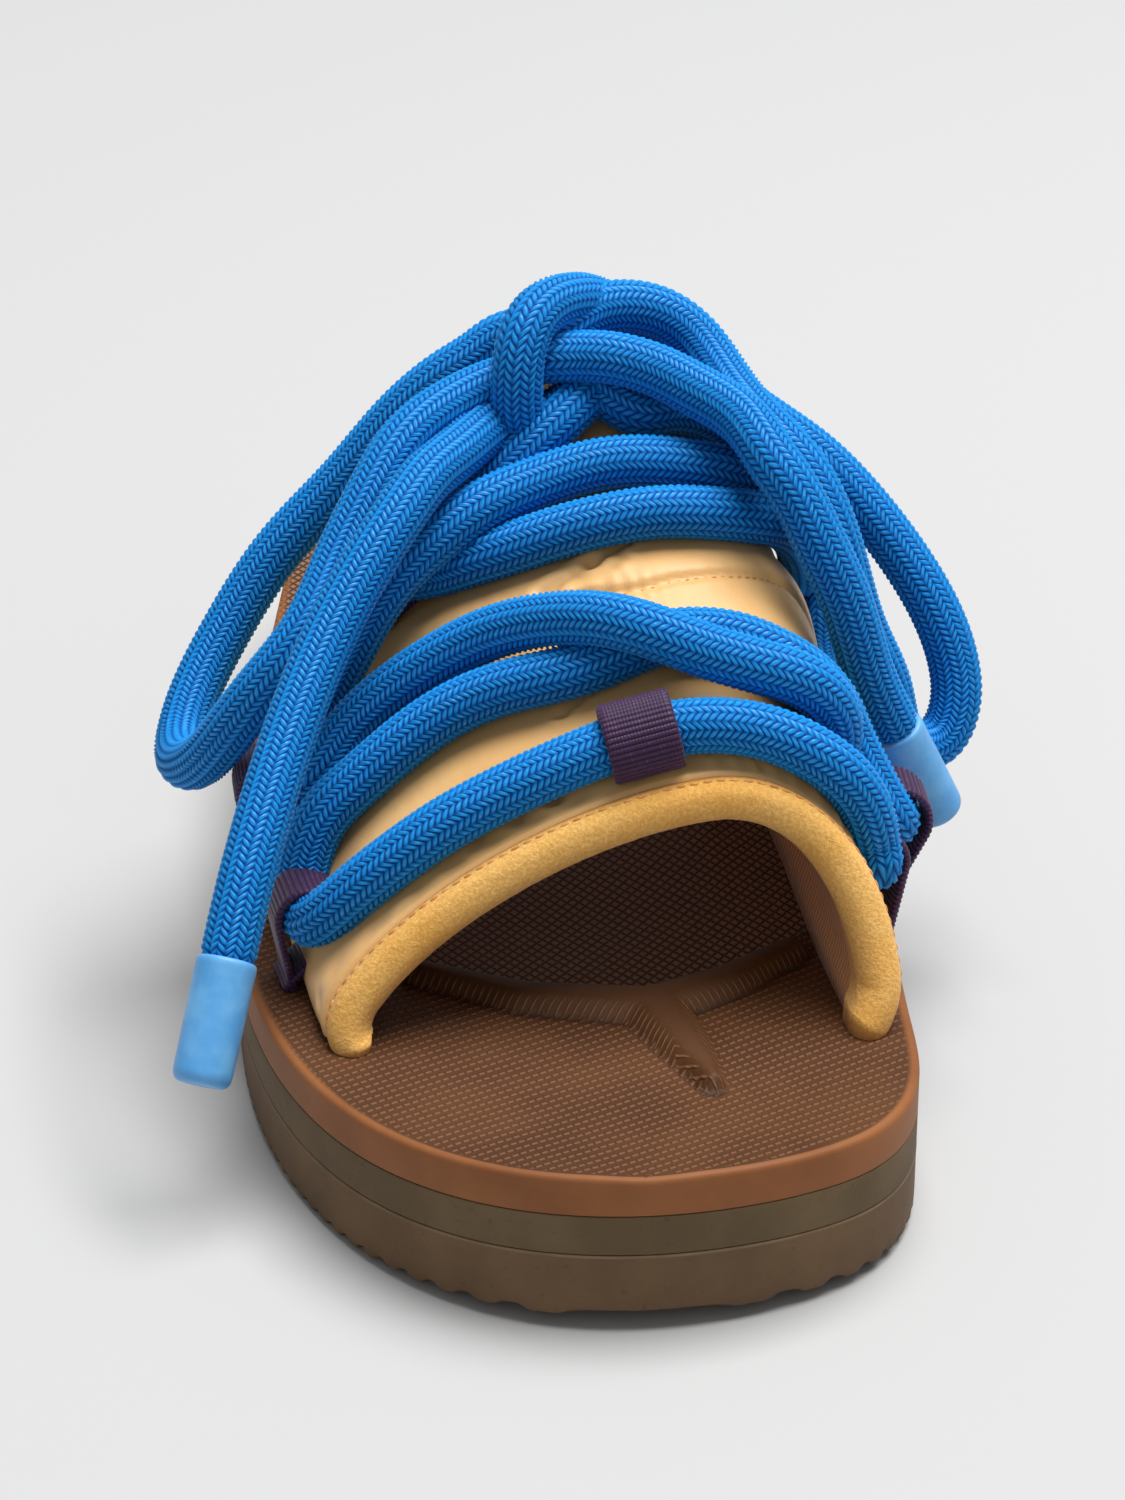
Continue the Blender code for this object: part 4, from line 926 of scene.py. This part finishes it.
# suede: golden with a granular nap, darker along the seam at its rear edge
def suedeFinish():
    finish, tree, shader = newFinish("suedeNap", 0.95, Sheen_Weight=0.15, Sheen_Roughness=0.6,
                                     Specular_IOR_Level=0.1)
    place = objectPlace(tree)
    cloud = noise(tree, place, 70.0, 4.0)
    grain = noise(tree, place, 1800.0, 3.0, 0.7)
    tone = blendColour(tree, spread(tree, cloud, 0.3, 0.7), (240, 182, 92), (248, 198, 114))
    tone = blendColour(tree, spread(tree, grain, 0.35, 0.7, 0.45, 0.0), tone, (190, 124, 44))
    tone = blendColour(tree, times(tree, markValue(tree, "seam"), 0.8), tone, (164, 100, 34))
    dress(tree, shader, tone, bump(tree, grain, 0.5, 0.0005))
    return finish


buildBinding(suedeFinish())
print("binding")


# stitches: short round threads in rows, joined in one piece
stitchSetting = {"binding": {"pitch": 2.1, "long": 1.5, "thick": 0.26},
                 "seam": {"pitch": 1.5, "long": 0.9, "thick": 0.2}}
stitchPlace = {"bindingForward": 4.3, "bindingLift": 1.2, "seamLift": 0.75}
threadSteps = 6


def stitchRow(line, out, pitch, long, thick):
    run = lengthAlong(line)
    at = np.arange(pitch, run[-1] - pitch, pitch)
    centre, ahead, up = [readAlong(at, run, row) for row in (line, np.gradient(line, axis=0), out)]
    ahead = unit(ahead)
    side = np.cross(up, ahead)
    part = np.linspace(-0.98, 0.98, threadSteps)
    turn = np.linspace(0.0, 2.0 * np.pi, threadSteps, endpoint=False)
    width = thick * np.sqrt(1.0 - part ** 2)
    points = (centre[:, None, None, :] + ahead[:, None, None, :] * (0.5 * long * part)[None, :, None, None]
              + side[:, None, None, :] * (width[:, None] * np.cos(turn))[None, :, :, None]
              + up[:, None, None, :] * (width[:, None] * np.sin(turn))[None, :, :, None])
    return points.reshape(-1, 3), len(at)


def buildStitches():
    u = np.linspace(0.04, 0.96, 400)
    out, along = upperFrame(u, 0.0 * u)
    bindingLine = upperSkin(u, 0.0 * u) - along * stitchPlace["bindingForward"]
    bindingLine = bindingLine + out * stitchPlace["bindingLift"]
    seamU = np.linspace(0.06, 0.94, 400)
    seamV = np.interp(seamU, *seamRow.T)
    seamOut = upperFrame(seamU, seamV)[0]
    seamLine = upperSkin(seamU, seamV) + seamOut * stitchPlace["seamLift"]
    first, firstCount = stitchRow(bindingLine, out, **stitchSetting["binding"])
    second, secondCount = stitchRow(seamLine, seamOut, **stitchSetting["seam"])
    starts = threadSteps ** 2 * np.arange(firstCount + secondCount)
    quads = (gridQuads(threadSteps, threadSteps)[None] + starts[:, None, None]).reshape(-1, 4)
    ends = [cap + start for cap in endCaps(threadSteps, threadSteps) for start in starts]
    finish, tree, shader = newFinish("stitchThread", 0.6)
    fleck = noise(tree, objectPlace(tree), 400.0, 2.0)
    tone = blendColour(tree, spread(tree, fleck, 0.3, 0.7), (196, 128, 52), (226, 166, 92))
    tree.links.new(tone, shader.inputs["Base Color"])
    return makePiece("stitchRows", np.vstack([first, second]), quads, [finish], ends)


buildStitches()
print("stitches")


# webbing: a flat band carried along a path, with rounded ribs across it
def bandAlong(name, path, across, width, finish, node):
    path = evenSteps(path, webSetting["rib"] / 5.0)
    across = np.asarray(across, float)
    face = unit(np.cross(unit(np.gradient(path, axis=0)), across))
    run = lengthAlong(path)[:, None]
    half = 0.5 * np.sin(0.5 * np.pi * np.linspace(-1.0, 1.0, webSetting["facePoints"]))
    side = np.concatenate([half, half[::-1]])[None, :]
    level = np.repeat([0.5, -0.5], webSetting["facePoints"])[None, :]
    rounded = np.sqrt(np.clip(1.0 - (np.abs(side) * 2.0) ** webSetting["edgePower"], 0.02, 1.0))
    rib = np.abs(np.sin(np.pi * run / webSetting["rib"])) ** 0.7
    raised = webSetting["ribHeight"] * (rib - webSetting["ribMiddle"])
    height = level * (webSetting["thick"] * rounded + 0.0 * run) + np.sign(level) * raised * rounded
    points = path[:, None, :] + across * (side * width)[..., None] + face[:, None, :] * height[..., None]
    uv = np.stack(np.broadcast_arrays(run / webSetting["rib"], side * width), -1).reshape(-1, 2)
    piece = makeTube(name, points, finish, uv, {"rib": np.repeat(rib, points.shape[1], 1)})
    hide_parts(node)


# ribbed webbing: painted shade between the ribs, fine threads crossing each rib, some of them pale, which
# on the rib tops is partly painted highlight
def webbingFinish():
    finish, tree, shader = newFinish("webbingRib", 0.5, Sheen_Weight=0.15, Specular_IOR_Level=0.35)
    rib = markValue(tree, "rib")
    along, across, w = parts(tree, clothPlace(tree))
    thread = calc(tree, "PINGPONG", times(tree, across, 1.9), 0.5)
    fleck = noise(tree, objectPlace(tree), 900.0, 2.0)
    # painted shade: very dark in the valleys between the ribs
    tone = blendColour(tree, spread(tree, rib, 0.2, 0.95), (16, 3, 20), (62, 22, 74))
    # pale threads at random, kept to the rib tops: partly thread colour, partly painted highlight
    paleThreadAndHighlight = times(tree, spread(tree, thread, 0.2, 0.45), spread(tree, fleck, 0.5, 0.72))
    paleThreadAndHighlight = times(tree, paleThreadAndHighlight, spread(tree, rib, 0.5, 0.9))
    tone = blendColour(tree, times(tree, paleThreadAndHighlight, 0.5), tone, (128, 84, 138))
    dress(tree, shader, tone, bump(tree, thread, 0.35, 0.0002))
    return finish


webbingRib = webbingFinish()


def topLoop():
    u, v = webSetting["topAt"]
    out, along = upperFrame(u, v)
    across = np.cross(out, along)
    radius = ropeSetting["radius"] + webSetting["clear"] + 0.5 * webSetting["thick"]
    centre = upperSkin(u, v) + out * (ropeSetting["radius"] + ropeSetting["clear"])
    turn = np.radians(np.linspace(*webSetting["topTurn"], webSetting["arcSteps"]))[:, None]
    path = centre + along * np.cos(turn) * radius + out * np.sin(turn) * radius
    bandAlong("loopTopBand", path, across, webSetting["topWidth"], webbingRib, "loop_top")


def sideLoop(node):
    u, v, width, rootU, offset = sideLoops[node]
    centre, run = loopCentre(node)
    outward = np.array([run[1], -run[0], 0.0]) * (1.0 if u > 0.5 else -1.0)
    footZ = rimLine(centre[1] + 0.5 * width) + 0.2
    rootV = np.interp(centre[1], fineRows[0], fineShare)
    if 0.0 < rootU < 1.0:
        rootV = v
        footZ = upperSkin(rootU, v)[2]
    foot = upperSkin(rootU, rootV) + outward * offset
    flat = np.array([np.dot(foot - centre, outward), footZ - centre[2]])
    radius = loopRadius - 0.5 * webSetting["thick"] - (webSetting["tight"] if node in loopSink else 0.0)
    far = np.linalg.norm(flat)
    start = np.arctan2(flat[1], flat[0])
    openAngle = np.arccos(min(radius / far, 1.0))
    turn = np.linspace(start + openAngle, start + 2.0 * np.pi - openAngle, webSetting["arcSteps"])
    arc = radius * np.stack([np.cos(turn), np.sin(turn)], -1)
    spreadFoot = webSetting["footSpread"] * np.array([-flat[1], flat[0]]) / far
    row = np.vstack([flat - spreadFoot, arc, flat + spreadFoot])
    path = centre + row[:, :1] * outward + row[:, 1:] * np.array([0.0, 0.0, 1.0])
    bandAlong(node.replace("_", "") + "Band", path, run, width, webbingRib, node)


topLoop()
for loopName in sideLoops:
    sideLoop(loopName)
print("webbing")

# floor, light and surroundings
floorMesh = bpy.data.meshes.new("floor")
floorMesh.from_pydata([(-4, -4, 0), (4, -4, 0), (4, 4, 0), (-4, 4, 0)], [], [(0, 1, 2, 3)])
floor = bpy.data.objects.new("floor", floorMesh)
floorPaint, floorTree, floorShader = newFinish("floorPaint", 0.9, Specular_IOR_Level=0.1)
floorShader.inputs["Base Color"].default_value = (0.525, 0.525, 0.525, 1.0)
floorMesh.materials.append(floorPaint)
scene.collection.objects.link(floor)
world = bpy.data.worlds.new("surroundings")
world.use_nodes = True
world.node_tree.nodes["Background"].inputs["Color"].default_value = (0.98, 0.99, 1.0, 1.0)
world.node_tree.nodes["Background"].inputs["Strength"].default_value = 0.28
scene.world = world
scene.view_settings.view_transform = "Standard"
lamps = {"key": ((0.6, 0.15, 2.8), 2.0, 124.0), "fill": ((-0.3, -1.8, 1.0), 1.2, 2.0)}  # place, size, power
for lampName, (spot, size, power) in lamps.items():
    lamp = bpy.data.lights.new(lampName, "AREA")
    lamp.size = size
    lamp.energy = power
    holder = bpy.data.objects.new(lampName, lamp)
    holder.location = spot
    holder.rotation_euler = (Vector((0.0, 0.0, 0.05)) - Vector(spot)).to_track_quat("-Z", "Y").to_euler()
    scene.collection.objects.link(holder)
